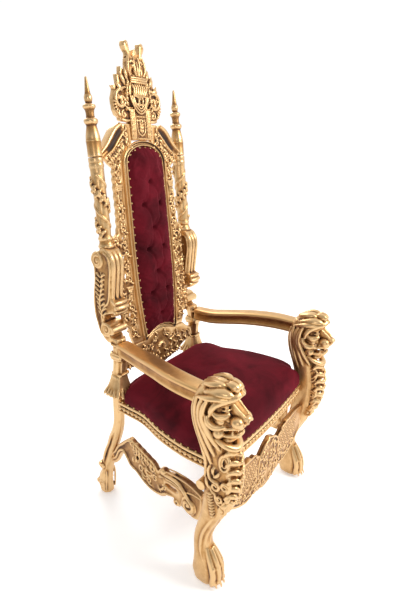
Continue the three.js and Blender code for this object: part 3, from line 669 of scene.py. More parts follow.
garland = []
turns, foot_height, rise = 1.5, 1.158, 0.212
for start in (-0.6, -0.6 + math.pi):
    rows = []
    for i in range(22):
        share = i / 21
        a = share * turns * 2 * math.pi + start
        height = foot_height + share * rise
        rows.append((post_x + 0.0245 * math.cos(a), plane_y(height) + 0.0245 * math.sin(a), height,
                     0.0062 if start == -0.6 else 0.0036, 0.0052 if start == -0.6 else 0.003))
    garland.append(lock(rows, away_from=off_post, steps=2))
for i in range(15):
    share = (i + 0.4) / 15
    a = share * turns * 2 * math.pi - 0.6
    height = foot_height + share * rise
    for turn, climb in ((0.55, 0.024), (-0.75, 0.012), (0.2, -0.018)):
        rows = []
        for part, half in ((0.0, 0.0035), (0.4, 0.0068), (0.75, 0.0058), (1.0, 0.0012)):
            b = a + turn * part
            z = height + climb * part
            r = 0.0248 + 0.0038 * math.sin(math.pi * part)
            rows.append((post_x + r * math.cos(b), plane_y(z) + r * math.sin(b), z, half, half * 0.62))
        garland.append(lock(rows, away_from=off_post, steps=3))

# The console's two flanks carry a bordered panel with a stem of leaves and the scrolls' eyes,
# and its front is worked in three broad flutes under a rolled top.
flank_x = post_x + 0.0325
flank_face = (1, 0, 0)


def on_flank(points, thick, out=0.0):
    return [(flank_x + out, y, z, t) for (y, z), t in zip(points, thick)]


console = [
    lock(on_flank([(0.300, 1.082), (0.318, 1.094), (0.340, 1.086), (0.350, 1.062), (0.338, 1.036),
                   (0.3365, 1.010),
                   (0.338, 0.980), (0.344, 0.940), (0.3475, 0.898), (0.344, 0.850), (0.334, 0.815),
                   (0.318, 0.776), (0.296, 0.764)],
                  [0.003, 0.004, 0.0045, 0.0045, 0.0042, 0.004, 0.004, 0.004, 0.004, 0.004, 0.004, 0.004,
                   0.003]),
         face=flank_face),
    lock(on_flank([(0.290, 1.096), (0.268, 1.082), (0.258, 1.040), (0.263, 0.985), (0.268, 0.935),
                   (0.276, 0.905),
                   (0.300, 0.880), (0.312, 0.850), (0.310, 0.812)],
                  [0.003, 0.004, 0.0042, 0.004, 0.004, 0.004, 0.004, 0.004, 0.003]), face=flank_face),
    lock([(flank_x, y, z, t) for _, y, z, t in scroll((0, 0.322, 1.062), 0.022, 0.0055, 1.4, 1.9, -1)],
         face=flank_face, steps=2),
    lock([(flank_x, y, z, t) for _, y, z, t in scroll((0, 0.290, 0.794), 0.022, 0.0055, 1.4, 1.2, 1)],
         face=flank_face, steps=2),
    lock([(flank_x - 0.001, y, z, t) for _, y, z, t in scroll((0, 0.264, 0.793), 0.012, 0.004, 1.1, 2.8, -1)],
         face=flank_face, steps=2),
    lock(on_flank([(0.300, 0.836), (0.314, 0.870), (0.318, 0.910), (0.306, 0.950), (0.300, 0.985),
                   (0.306, 1.020)],
                  [0.003, 0.005, 0.0055, 0.0055, 0.005, 0.003], -0.001), face=flank_face),
    egg((flank_x, 0.322, 1.062), (0.006, 0.0075, 0.0075)),
    egg((flank_x, 0.290, 0.794), (0.006, 0.0075, 0.0075)),
]
for i in range(9):
    height = 0.850 + 0.019 * i
    stem = 0.309 + 0.009 * math.sin((height - 0.87) * 24)
    for way in (-1, 1):
        console.append(lock([
            (flank_x - 0.001, stem, height - 0.004, 0.0026), (flank_x + 0.001, stem + way * 0.010,
                height + 0.006, 0.005),
            (flank_x, stem + way * 0.019, height + 0.012, 0.0042),
            (flank_x - 0.001, stem + way * 0.024, height + 0.009, 0.0015)],
            face=flank_face, steps=3))
console += other_side(console, post_x)
for x in (-0.0205, 0.0, 0.0205):
    console.append(lock([
        (post_x + x, 0.300, 1.104, 0.0085, 0.004), (post_x + x, 0.275, 1.1015, 0.0095, 0.005),
        (post_x + x, 0.2565, 1.080, 0.010, 0.006), (post_x + x, 0.2500, 1.045, 0.010, 0.006),
        (post_x + x, 0.2530, 1.000, 0.0096, 0.006), (post_x + x, 0.2565, 0.955, 0.0085, 0.006),
        (post_x + x, 0.2590, 0.915, 0.0065, 0.005)], face=(0, -1, 0), sides=12))
for back, height, half in ((0.243, 0.908, 0.0085), (0.2365, 0.890, 0.0105), (0.243, 0.871, 0.0085),
                           (0.258, 0.857, 0.006)):
    console.append(lock([(post_x - 0.034, back, height, half * 0.7),
                         (post_x - 0.016, back - 0.003, height, half),
                         (post_x, back - 0.0045, height, half * 1.08),
                         (post_x + 0.016, back - 0.003, height, half),
                         (post_x + 0.034, back, height, half * 0.7)], face=(0, -1, 0), sides=12))
console += [egg((post_x + x, 0.2345, 0.890), (0.0085, 0.007, 0.0115)) for x in (-0.019, 0.0, 0.019)]
for y, z, radius in ((0.322, 1.062, 0.0272), (0.290, 0.794, 0.0282), (0.264, 0.793, 0.0172)):
    console.append(lock([(post_x - 0.0355, y, z, radius), (post_x - 0.030, y, z, radius * 0.93),
                         (post_x + 0.030, y, z, radius * 0.93), (post_x + 0.0355, y, z, radius)],
                        face=(0, 0, 1), sides=28, steps=1))

# The block under the console, its two astragals, and the leaf collar that flares over the rail
collar = []
for height, half, thick in ((0.700, 0.0305, 0.0042), (0.690, 0.0325, 0.005), (0.679, 0.0295, 0.0035),
                            (0.612, 0.0290, 0.004), (0.737, 0.0285, 0.004)):
    collar.append(lock([(post_x + 0.008, 0.247, height - thick, half, half),
                        (post_x + 0.008, 0.247, height + thick, half, half)],
                       face=(0, -1, 0), sides=24, squareness=5))
for i in range(18):
    a = i / 18 * 2 * math.pi
    c, s = math.cos(a), math.sin(a)
    square = (abs(c) ** 4 + abs(s) ** 4) ** -0.25
    rows = []
    for height, reach, half in ((0.596, 0.0250, 0.0035), (0.576, 0.0280, 0.0052), (0.558, 0.0340, 0.0066),
                                (0.542, 0.0425, 0.0080), (0.531, 0.0495, 0.0074), (0.525, 0.0505, 0.0045)):
        rows.append((0.2495 + reach * square * c, 0.250 + reach * square * s, height, half, half * 0.75))
    collar.append(lock(rows, away_from=(0.2495, 0.250, 0.57), steps=3))

# The scroll foot: an eye on each flank at the ankle and another at the heel, and a raised edge
foot = []
for way in (-1, 1):
    foot_x = 0.261 + way * 0.0265
    for y, z, radius, begin, direction in ((0.342, 0.040, 0.019, 2.4, -1), (0.333, 0.142, 0.013, 1.0, -1)):
        foot.append(lock([(foot_x, yy, zz, t) for _, yy, zz, t in scroll((0, y, z), radius, 0.0048, 1.3,
            begin, direction)],
                         face=(way, 0, 0), steps=2))
        foot.append(egg((foot_x, y, z), (0.0045, 0.005, 0.005)))
    foot.append(lock([(foot_x - way * 0.003, 0.330, 0.165, 0.003),
                      (foot_x - way * 0.003, 0.322, 0.200, 0.005),
                      (foot_x - way * 0.003, 0.308, 0.240, 0.0055),
                      (foot_x - way * 0.004, 0.288, 0.285, 0.0045),
                      (foot_x - way * 0.004, 0.270, 0.330, 0.002)], face=(way, 0, 0)))
    foot.append(lock([(foot_x - way * 0.001, 0.316, 0.012, 0.003), (foot_x, 0.315, 0.045, 0.004),
                      (foot_x - way * 0.001, 0.312, 0.085, 0.0045),
                      (foot_x - way * 0.003, 0.314, 0.120, 0.003)],
                     face=(way, 0, 0)))
for back, height in ((0.3745, 0.045), (0.358, 0.142)):
    foot.append(lock([(0.236, back - 0.010, height, 0.013), (0.261, back - 0.008, height, 0.0125),
                      (0.286, back - 0.010, height, 0.013)], face=(0, 0, 1), sides=16))

post = [softened("rear_post_left", 0.003, 6), column] + garland + console + collar + foot
rear_post_left = carved("carved_rear_post_left", post, 0.0021, 1, 0.0035, 88000)
rear_post_right = carved("carved_rear_post_right", other_side(post), 0.0021, 1, 0.0035, 88000)
for piece, node in ((rear_post_left, "rear_post_left"), (rear_post_right, "rear_post_right")):
    piece.data.materials.append(carved_gilt)
    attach(piece, "root")
    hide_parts(node)


# Finials: turned spires on a dowel in the column's head, with a vase, two rings, a ball and a
# blunt point, gilded with the rest.
spire = [
    (0.0262, 1.4243), (0.0262, 1.4300), (0.0252, 1.4320), (0.0252, 1.4760), (0.0262, 1.4775),
    (0.0262, 1.4800), (0.0250, 1.4820), (0.0250, 1.4920), (0.0232, 1.5020), (0.0200, 1.5150),
    (0.0178, 1.5260), (0.0176, 1.5310), (0.0215, 1.5345), (0.0242, 1.5390), (0.0248, 1.5435),
    (0.0235, 1.5480), (0.0200, 1.5510), (0.0165, 1.5525), (0.0145, 1.5560), (0.0140, 1.5640),
    (0.0148, 1.5740), (0.0165, 1.5800), (0.0200, 1.5835), (0.0222, 1.5870), (0.0226, 1.5905),
    (0.0205, 1.5945), (0.0160, 1.5970), (0.0120, 1.5990), (0.0112, 1.6030), (0.0135, 1.6085),
    (0.0146, 1.6150), (0.0138, 1.6210), (0.0120, 1.6250), (0.0100, 1.6285), (0.0092, 1.6330),
    (0.0072, 1.6500), (0.0048, 1.6700), (0.0042, 1.6780), (0.0030, 1.6815), (0.0012, 1.6830)]
for side, node in ((1, "finial_left"), (-1, "finial_right")):
    parts = [turned(spire, 48)]
    finial = mesh_object("turned_" + node, parts if side > 0 else other_side(parts))
    finished(finial, ("SUBSURF", {"levels": 1, "render_levels": 1}))
    bpy.ops.object.shade_smooth()
    mark_hollows(finial, 0.0035, 3)
    finial.data.materials.append(carved_gilt)
    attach(finial, "root")
    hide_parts(node)


# Arms: bandsawn hardwood in a long bow, flat on top with eased edges and coved down both sides,
# tenoned into the post behind and let into the mane in front. The gilding is worn thin and brown
# where hands rest.
def moulding(line, section, out, sizes=None, closed=False):
    """Sweeps a section, drawn across and out, along a line of points."""
    line = np.array(line, float)
    if closed:
        along = unit(np.roll(line, -1, 0) - np.roll(line, 1, 0))
    else:
        along = unit(np.gradient(line, axis=0))
    facing = np.tile(unit(np.array(out, float)), (len(line), 1))
    across = unit(np.cross(along, facing))
    facing = np.cross(across, along)
    sizes = np.ones((len(line), 2)) if sizes is None else np.array(sizes, float)
    section = np.array(section, float)
    ring = (line[:, None]
            + across[:, None] * (section[:, 0][None] * sizes[:, :1])[:, :, None]
            + facing[:, None] * (section[:, 1][None] * sizes[:, 1:])[:, :, None])
    sides, count = len(section), len(line)
    area = 0.5 * np.sum(section[:, 0] * np.roll(section[:, 1], -1) - section[:,
        1] * np.roll(section[:, 0], -1))
    faces = []
    for i in range(count if closed else count - 1):
        k = (i + 1) % count
        for j in range(sides):
            m = (j + 1) % sides
            quad = (i * sides + j, i * sides + m, k * sides + m, k * sides + j)
            faces.append(quad if area < 0 else quad[::-1])
    if not closed:
        ends = [tuple(range(sides))[::-1], tuple((count - 1) * sides + j for j in range(sides))]
        faces += ends if area < 0 else [end[::-1] for end in ends]
    return ring.reshape(-1, 3), faces


arm_line = line_through([
    (0.352, -0.236, 0.744, 0.0300, 0.0300), (0.347, -0.150, 0.745, 0.0320, 0.0310),
    (0.334, -0.080, 0.743, 0.0330, 0.0305), (0.310, 0.000, 0.738, 0.0330, 0.0295),
    (0.283, 0.080, 0.728, 0.0325, 0.0290), (0.259, 0.150, 0.721, 0.0315, 0.0285),
    (0.243, 0.2365, 0.722, 0.0290, 0.0285)], 10)
half_section = [(0.0, 1.0), (0.45, 0.995), (0.72, 0.965), (0.90, 0.90), (0.985, 0.78), (1.0, 0.62),
                (0.96, 0.48), (0.88, 0.38), (0.80, 0.30), (0.745, 0.15), (0.72, -0.05), (0.735, -0.28),
                (0.79, -0.48), (0.83, -0.60), (0.82, -0.76), (0.74, -0.90), (0.55, -0.985), (0.0, -1.0)]
arm_section = half_section + [(-u, v) for u, v in half_section[-2:0:-1]]
arm_parts = [moulding(arm_line[:, :3], arm_section, (0, 0, 1), arm_line[:, 3:])]
worn_gilt = gilding("rubbed_gilding_on_arms", 0.16, "D9AE75", "B17F47", "6E4420")
for side, node in ((1, "arm_left"), (-1, "arm_right")):
    arm = mesh_object("bowed_" + node, arm_parts if side > 0 else other_side(arm_parts))
    finished(arm, ("SUBSURF", {"levels": 1, "render_levels": 1}))
    bpy.ops.object.shade_smooth()
    mark_hollows(arm, 0.006, 8)
    arm.data.materials.append(worn_gilt)
    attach(arm, "root")
    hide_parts(node)


# Back frame: a moulding of cove and bead, cut to an arch round the pad, in the leaning plane of
# the back, its sill bowed up over the apron.
back_face = (0, -1, lean)


def on_back(rows):
    """Rows of x, height, how far ahead of the posts' plane, then half sizes, as places."""
    return [(row[0], plane_y(row[1]) - row[2], row[1]) + tuple(row[3:]) for row in rows]


frame_side = line_through([(0.104, 0.696), (0.115, 0.790), (0.123, 0.900), (0.126, 1.040), (0.123, 1.220),
                           (0.119, 1.400)], 5)


def arch_line(inset, sill_points=9, top_points=24):
    """The arch drawn inside the frame's outer edge by an inset, right side first."""
    side = [(x - inset, z + (inset if i == 0 else 0)) for i, (x, z) in enumerate(frame_side)]
    half, spring = side[-1]
    top = [(half * math.cos(math.pi * i / top_points),
            spring + (0.082 - inset) * math.sin(math.pi * i / top_points))
           for i in range(1, top_points)]
    left = [(-x, z) for x, z in side[::-1]]
    foot, bottom = side[0]
    sill = [(-foot * (1 - 2 * i / (sill_points + 1)),
             bottom + 0.026 * (1 - (1 - 2 * i / (sill_points + 1)) ** 2))
            for i in range(1, sill_points + 1)]
    return side + top + left + sill


frame_path = [(x, plane_y(z), z) for x, z in arch_line(0.010)]
cove_and_bead = [(-0.0102, -0.0138), (0.0102, -0.0138), (0.0102, 0.0150), (0.0094, 0.0195), (0.0072, 0.0215),
                 (0.0052, 0.0200), (0.0046, 0.0175), (0.0030, 0.0150), (0.0004, 0.0138), (-0.0022, 0.0150),
                 (-0.0040, 0.0180), (-0.0048, 0.0205), (-0.0070, 0.0222), (-0.0092, 0.0208),
                 (-0.0102, 0.0170)]
back_frame = mesh_object("arched_back_frame", [moulding(frame_path, cove_and_bead, back_face, closed=True)])
finished(back_frame, ("BEVEL", {"width": 0.0007, "segments": 2, "limit_method": "ANGLE"}))
bpy.ops.object.shade_smooth_by_angle(angle=math.radians(50))
mark_hollows(back_frame, 0.004, 3)
back_frame.data.materials.append(carved_gilt)
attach(back_frame, "root")
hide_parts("back_frame")


# Crest: one carved board. A crown with knobbed points stands over a shield filled with swirling
# leaves, between ragged leafy wings with scrolls and shells, above a fluted tablet with pearls.
def board(rows, **ways):
    return lock(on_back(rows), face=back_face, **ways)


def knob(x, height, out, radii):
    return egg((x, plane_y(height) - out, height), radii, (-6, 0, 0))


def curl(x, height, out, radius, thick, turns=1.3, begin=0.0, direction=1, tail=()):
    """A scroll on the back, winding in to a button at its eye."""
    rows = list(tail)
    steps = int(turns * 10) + 1
    for i in range(steps):
        share = i / (steps - 1)
        a = begin + direction * share * turns * 2 * math.pi
        r = radius * (1 - 0.8 * share)
        rows.append((x + r * math.cos(a), height + r * math.sin(a), out, thick * (1 - 0.35 * share)))
    return [board(rows, steps=2), knob(x, height, out + 0.001, (thick * 0.9, thick * 0.8, thick * 0.9))]


def leaf(x, height, out, length, angle, thick=0.005, bend=0.4, rise=0.004):
    """A tapering leaf that springs from a point and bends to one side."""
    a = math.radians(angle)
    rows = []
    for part, half in ((0.0, 0.45), (0.35, 1.0), (0.7, 0.85), (1.0, 0.18)):
        b = a + bend * part
        rows.append((x + length * part * math.cos(b), height + length * part * math.sin(b),
                     out + rise * math.sin(math.pi * min(1, part * 1.1)), thick * half,
                     thick * 0.6 * half + 0.0008))
    return board(rows, steps=3)


crown_front = 0.018
crest = []
for side in (1, -1):
    crest += [
        board([(side * 0.036, 1.770, 0.006, 0.0085, 0.011), (side * 0.037, 1.790, 0.006, 0.0082, 0.0105),
               (side * 0.040, 1.803, 0.006, 0.0105, 0.0125)]),
        knob(side * 0.0405, 1.8075, 0.006, (0.0128, 0.0135, 0.0135)),
        knob(side * 0.0405, 1.8110, 0.008, (0.0095, 0.0145, 0.0075)),
        # the crown's arched ribs and the lobes between them
        board([(side * 0.034, 1.708, crown_front, 0.004), (side * 0.045, 1.728, crown_front, 0.0055),
               (side * 0.043, 1.752, crown_front, 0.006), (side * 0.035, 1.776, crown_front - 0.004, 0.005)]),
        board([(side * 0.008, 1.704, crown_front + 0.002, 0.0045),
               (side * 0.012, 1.728, crown_front + 0.003, 0.0055),
               (side * 0.014, 1.750, crown_front + 0.002, 0.0055),
               (side * 0.010, 1.770, crown_front, 0.004)]),
        board([(side * 0.014, 1.748, crown_front, 0.004), (side * 0.024, 1.757, crown_front + 0.001, 0.0048),
               (side * 0.034, 1.750, crown_front, 0.004)]),
        knob(side * 0.020, 1.741, crown_front, (0.006, 0.006, 0.0065)),
        knob(side * 0.021, 1.706, crown_front, (0.0075, 0.006, 0.0055)),
        # wing feathers
        leaf(side * 0.050, 1.690, 0.011, 0.049, 90 - side * 26, 0.0085, 0.25 * side, 0.004),
        leaf(side * 0.062, 1.672, 0.011, 0.050, 90 - side * 40, 0.0085, 0.2 * side, 0.004),
        leaf(side * 0.078, 1.650, 0.011, 0.046, 90 - side * 58, 0.0085, 0.25 * side, 0.004),
        leaf(side * 0.050, 1.668, 0.013, 0.032, 90 - side * 15, 0.006, 0.3 * side, 0.004),
        # lower lobes and the little scrolls above the gable
        *curl(side * 0.080, 1.574, 0.011, 0.014, 0.0042, 1.2, 1.57, -side),
        *curl(side * 0.066, 1.596, 0.014, 0.010, 0.0035, 1.1, 0.3, side),
        leaf(side * 0.096, 1.566, 0.010, 0.026, 90 - side * 70, 0.006, 0.3 * side),
        board([(side * 0.056, 1.553, 0.011, 0.005), (side * 0.076, 1.552, 0.012, 0.006),
               (side * 0.097, 1.556, 0.011, 0.005)]),
    ]
crest += [
    knob(0, 1.7915, 0.008, (0.0095, 0.010, 0.0065)), knob(0, 1.780, 0.008, (0.0105, 0.011, 0.009)),
    board([(-0.046, 1.758, 0.006, 0.006, 0.010), (0, 1.764, 0.007, 0.007, 0.011),
           (0.046, 1.758, 0.006, 0.006, 0.010)]),
    board([(0, 1.700, crown_front + 0.002, 0.005), (0, 1.728, crown_front + 0.004, 0.0062),
           (0, 1.756, crown_front + 0.001, 0.0045)]),
]
for height, half in ((1.7005, 0.0036), (1.6930, 0.0042), (1.6855, 0.0036)):
    crest.append(board([(-0.0395, height, 0.020, half, 0.005), (-0.02, height, 0.0245, half, 0.005),
                        (0.0, height, 0.026, half, 0.005), (0.02, height, 0.0245, half, 0.005),
                        (0.0395, height, 0.020, half, 0.005)], squareness=3))

# The near wing is a great scroll with a bud in it, the far one a ribbed shell
for side in (1, -1):
    crest += curl(side * 0.090, 1.622, 0.013, 0.033, 0.0072, 1.15, 1.2 if side > 0 else 1.94, -side,
                  [(side * 0.058, 1.668, 0.012, 0.004)])
    crest += [knob(side * 0.090, 1.612, 0.014, (0.009, 0.008, 0.011)),
              knob(side * 0.090, 1.627, 0.014, (0.006, 0.006, 0.006))]
    for i in range(8):
        a = math.radians(-60 + 19 * i)
        crest.append(board([
            (side * (0.094 + 0.018 * math.cos(a)), 1.606 + 0.018 * math.sin(a), 0.012, 0.0018),
            (side * (0.094 + 0.028 * math.cos(a)), 1.606 + 0.028 * math.sin(a), 0.014, 0.0036),
            (side * (0.094 + 0.036 * math.cos(a)), 1.606 + 0.038 * math.sin(a), 0.010, 0.0032)], steps=3))
    for i in range(5):
        crest.append(leaf(side * 0.058, 1.588 + 0.016 * i, 0.016, 0.024, 90 - side * (70 - 12 * i),
                          0.0048, 0.4 * side))

# The shield: swirling fluted leaves, drawn down to nested mouldings at its foot
for i in range(7):
    x = -0.036 + 0.012 * i
    crest.append(board([
        (x, 1.680 - 0.001 * abs(i - 3), 0.0215, 0.0042), (x * 0.95 + 0.004, 1.664, 0.0245, 0.0052),
        (x * 0.8 - 0.003, 1.645, 0.0245, 0.0052), (x * 0.6 + 0.002, 1.626 + 0.0012 * abs(x) * 1000 / 4,
                                                   0.0225, 0.003)], steps=4))
for width, foot_at, out, half in ((0.049, 1.579, 0.0215, 0.0032), (0.041, 1.588, 0.0235, 0.0032),
                                  (0.033, 1.597, 0.0240, 0.003)):
    crest.append(board([(-width, 1.640, out - 0.002, half), (-width * 0.86, 1.618, out, half),
                        (-width * 0.45, foot_at + 0.010, out, half),
                        (0, foot_at, out, half), (width * 0.45, foot_at + 0.010, out, half),
                        (width * 0.86, 1.618, out, half),
                        (width, 1.640, out - 0.002, half)]))
for i in range(5):
    crest.append(knob(-0.014 + 0.007 * i, 1.6085 + 0.0008 * (i - 2) ** 2, 0.0235, (0.0034, 0.005, 0.0042)))
for x in (-0.0095, 0.0095):
    crest.append(board([(x, 1.638, 0.023, 0.003), (x * 1.1, 1.622, 0.026, 0.0052),
                        (x * 0.5, 1.607, 0.024, 0.003)]))

# The tablet: two fluted strips, a row of pearls above and below, and a small blank cartouche
for side in (1, -1):
    for x in (0.0335, 0.0405, 0.0475, 0.0540):
        half = 0.0030 if x < 0.05 else 0.0022
        crest.append(board([(side * x, 1.4865, 0.0155, half, 0.0035), (side * x, 1.540, 0.0165, half, 0.004),
                            (side * x, 1.5935, 0.0155, half, 0.0035)], steps=3, squareness=3))
for i in range(6):
    x = -0.0225 + 0.009 * i
    crest += [knob(x, 1.5685, 0.0165, (0.0043, 0.0048, 0.0043)),
              knob(x, 1.4895, 0.0165, (0.0043, 0.0048, 0.0043))]
crest += [
    board([(-0.0215, 1.5575, 0.0165, 0.0024), (-0.0225, 1.535, 0.017, 0.0026),
           (-0.0175, 1.513, 0.017, 0.0026),
           (0, 1.5005, 0.017, 0.0028), (0.0175, 1.513, 0.017, 0.0026), (0.0225, 1.535, 0.017, 0.0026),
           (0.0215, 1.5575, 0.0165, 0.0024)]),
    board([(-0.0215, 1.5575, 0.0165, 0.0024), (-0.010, 1.5535, 0.017, 0.0026), (0, 1.5585, 0.018, 0.0028),
           (0.010, 1.5535, 0.017, 0.0026), (0.0215, 1.5575, 0.0165, 0.0024)]),
]
for side in (1, -1):
    for i in range(4):
        crest.append(leaf(side * 0.002, 1.513 + 0.0115 * i, 0.0165, 0.0150, 90 - side * 52, 0.0034,
                          0.5 * side, 0.002))
crest.append(board([(0, 1.508, 0.0165, 0.002), (0, 1.530, 0.018, 0.0028), (0, 1.550, 0.0165, 0.0018)]))
crest_piece = carved("carved_crest", [softened("crest", 0.0022, 3)] + crest, 0.00155, 1, 0.003, 80000)
crest_piece.data.materials.append(carved_gilt)
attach(crest_piece, "root")
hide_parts("crest")


# Gables: a broad coved moulding runs down in a curve from each side of the crest to the post.
gable_low = line_through([(0.099, 1.510), (0.137, 1.476), (0.170, 1.440), (0.216, 1.416)], 6)
gable_high = line_through([(0.106, 1.546), (0.128, 1.534), (0.156, 1.506), (0.186, 1.474), (0.216, 1.446)], 6)
rows = np.linspace(0, 1, 22)
low = np.array([[np.interp(t, np.linspace(0, 1, len(gable_low)), gable_low[:, k]) for k in (0,
    1)] for t in rows])
high = np.array([[np.interp(t, np.linspace(0, 1, len(gable_high)), gable_high[:, k]) for k in (0,
    1)] for t in rows])
middle, widths = (low + high) / 2, np.linalg.norm(high - low, axis=1) / 2
gable_path = [(x, plane_y(z), z) for x, z in middle]
gable_section = [(-1, -0.0115), (1, -0.0115), (1, 0.0120), (0.93, 0.0165), (0.80, 0.0185), (0.66, 0.0168),
                 (0.58, 0.0135), (0.40, 0.0110), (0.16, 0.0105), (-0.08, 0.0125), (-0.30, 0.0165),
                 (-0.44, 0.0205),
                 (-0.62, 0.0222), (-0.80, 0.0212), (-0.92, 0.0185), (-1, 0.0140)]
gable_parts = [moulding(gable_path, gable_section, back_face, [(w, 1) for w in widths])]
for side, node in ((1, "gable_left"), (-1, "gable_right")):
    gable = mesh_object("swept_" + node, gable_parts if side > 0 else other_side(gable_parts))
    finished(gable, ("BEVEL", {"width": 0.0008, "segments": 2, "limit_method": "ANGLE"}))
    bpy.ops.object.shade_smooth_by_angle(angle=math.radians(50))
    mark_hollows(gable, 0.005, 2)
    gable.data.materials.append(carved_gilt)
    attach(gable, "root")
    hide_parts(node)


# Fretwork: a pierced board fills each side between the frame and the post, worked with scrolls,
# sprays of leaves, rows of pearls and two small capitals on pilasters.
fret = [softened("fretwork_left", 0.0022, 3)]
out = 0.0125
for i, (x, z, radius, begin, way) in enumerate((
        (0.148, 0.745, 0.015, 0.5, 1), (0.146, 0.800, 0.016, 2.6, -1), (0.150, 0.852, 0.015, 0.4, 1),
        (0.152, 0.902, 0.013, 2.6, -1),
        (0.148, 0.968, 0.015, 0.5, 1), (0.150, 1.020, 0.017, 2.6, -1), (0.148, 1.075, 0.015, 0.5, 1),
        (0.150, 1.118, 0.013, 2.4, -1),
        (0.150, 1.165, 0.014, 0.5, 1), (0.148, 1.214, 0.014, 2.6, -1), (0.150, 1.255, 0.012, 0.5, 1),
        (0.146, 1.368, 0.013, 2.6, -1),
        (0.186, 0.835, 0.013, 2.2, -1), (0.186, 0.905, 0.013, 0.9, 1), (0.188, 0.985, 0.013, 2.2, -1),
        (0.188, 1.055, 0.012, 0.9, 1),
        (0.188, 1.120, 0.009, 2.2, -1), (0.134, 1.424, 0.013, 2.5, -1), (0.172, 1.412, 0.012, 0.8, 1),
        (0.086, 1.505, 0.014, 1.2, -1),
        (0.076, 1.470, 0.010, 3.0, 1), (0.114, 1.470, 0.010, 0.6, 1))):
    fret += curl(x, z, out, radius, 0.0036, 1.15, begin, way)
    fret += [leaf(x + 0.004, z + radius * 0.7, out, 0.022, 35 + 90 * (i % 2), 0.0048, 0.5 * way),
             leaf(x - 0.006, z - radius * 0.7, out, 0.020, 225 + 70 * (i % 2), 0.0046, -0.5 * way),
             leaf(x + 0.010, z - radius * 0.2, out, 0.018, -30 + 40 * (i % 3), 0.0042, 0.4 * way)]
for i in range(30):
    z = 0.770 + 0.0215 * i
    edge = 0.1665 if z > 1.15 else 0.196
    fret.append(leaf(edge - 0.012, z - 0.006, out - 0.001, 0.019, 38, 0.0046, 0.3, 0.003))
for z in (0.932, 1.318):
    for k, (height, half) in enumerate(((-0.009, 0.012), (-0.003, 0.0145), (0.004, 0.0165), (0.009, 0.018))):
        fret.append(board([(0.150 - half, z + height, out + 0.001, 0.0024, 0.004),
                           (0.150 + half, z + height, out + 0.001, 0.0024, 0.004)], steps=3))
    for x in (0.143, 0.150, 0.157):
        fret.append(board([(x, z - 0.042, out, 0.0022, 0.003), (x, z - 0.012, out, 0.0024, 0.0034)], steps=3))
for i in range(9):
    t = i / 8
    fret.append(knob(0.106 + 0.078 * t, 1.484 - 0.056 * t, out + 0.002, (0.0040, 0.0046, 0.0040)))
    fret.append(leaf(0.112 + 0.074 * t, 1.470 - 0.056 * t, out, 0.020, 250, 0.0044, -0.6, 0.003))
fret_left = carved("carved_fretwork_left", fret, 0.0017, 1, 0.003)
fret_right = carved("carved_fretwork_right", other_side(fret), 0.0017, 1, 0.003)
for piece, node in ((fret_left, "fretwork_left"), (fret_right, "fretwork_right")):
    piece.data.materials.append(carved_gilt)
    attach(piece, "root")
    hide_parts(node)


# Apron: a pierced leafy board under the frame, from post to post, with paired scrolls that meet
# under a shell in the middle.
apron = [softened("apron", 0.0022, 3)]
half_apron = []
for x, z, radius, begin, way in ((0.030, 0.600, 0.013, 1.2, -1), (0.062, 0.606, 0.014, 2.0, 1),
                                 (0.098, 0.612, 0.014, 1.0, -1),
                                 (0.130, 0.632, 0.014, 2.2, 1), (0.160, 0.640, 0.013, 0.8, -1),
                                 (0.110, 0.660, 0.013, 3.0, 1),
                                 (0.058, 0.664, 0.014, 0.4, -1), (0.030, 0.690, 0.011, 1.8, 1),
                                 (0.196, 0.634, 0.010, 2.4, -1)):
    half_apron += curl(x, z, out, radius, 0.0036, 1.15, begin, way)
    half_apron += [leaf(x + 0.004, z - radius * 0.6, out, 0.021, -60, 0.0048, 0.4 * way),
                   leaf(x - 0.004, z + radius * 0.6, out, 0.019, 100, 0.0046, -0.4 * way)]
for i in range(9):
    x = 0.010 + 0.0145 * i
    half_apron.append(leaf(x, 0.590 + 0.10 * max(0, x - 0.08), out - 0.001, 0.017, -72, 0.0046, 0.2, 0.003))
for i in range(5):
    a = math.radians(90 - 18 * i)
    half_apron.append(board([(0.006 * math.cos(a), 0.636 + 0.006 * math.sin(a), out, 0.0016),
                             (0.016 * math.cos(a), 0.636 + 0.018 * math.sin(a), out + 0.003, 0.0034),
                             (0.024 * math.cos(a), 0.636 + 0.027 * math.sin(a), out, 0.0022)], steps=3))
apron_piece = carved("carved_apron", apron + half_apron + other_side(half_apron), 0.0017, 1, 0.003, 34000)
apron_piece.data.materials.append(carved_gilt)
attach(apron_piece, "root")
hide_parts("apron")


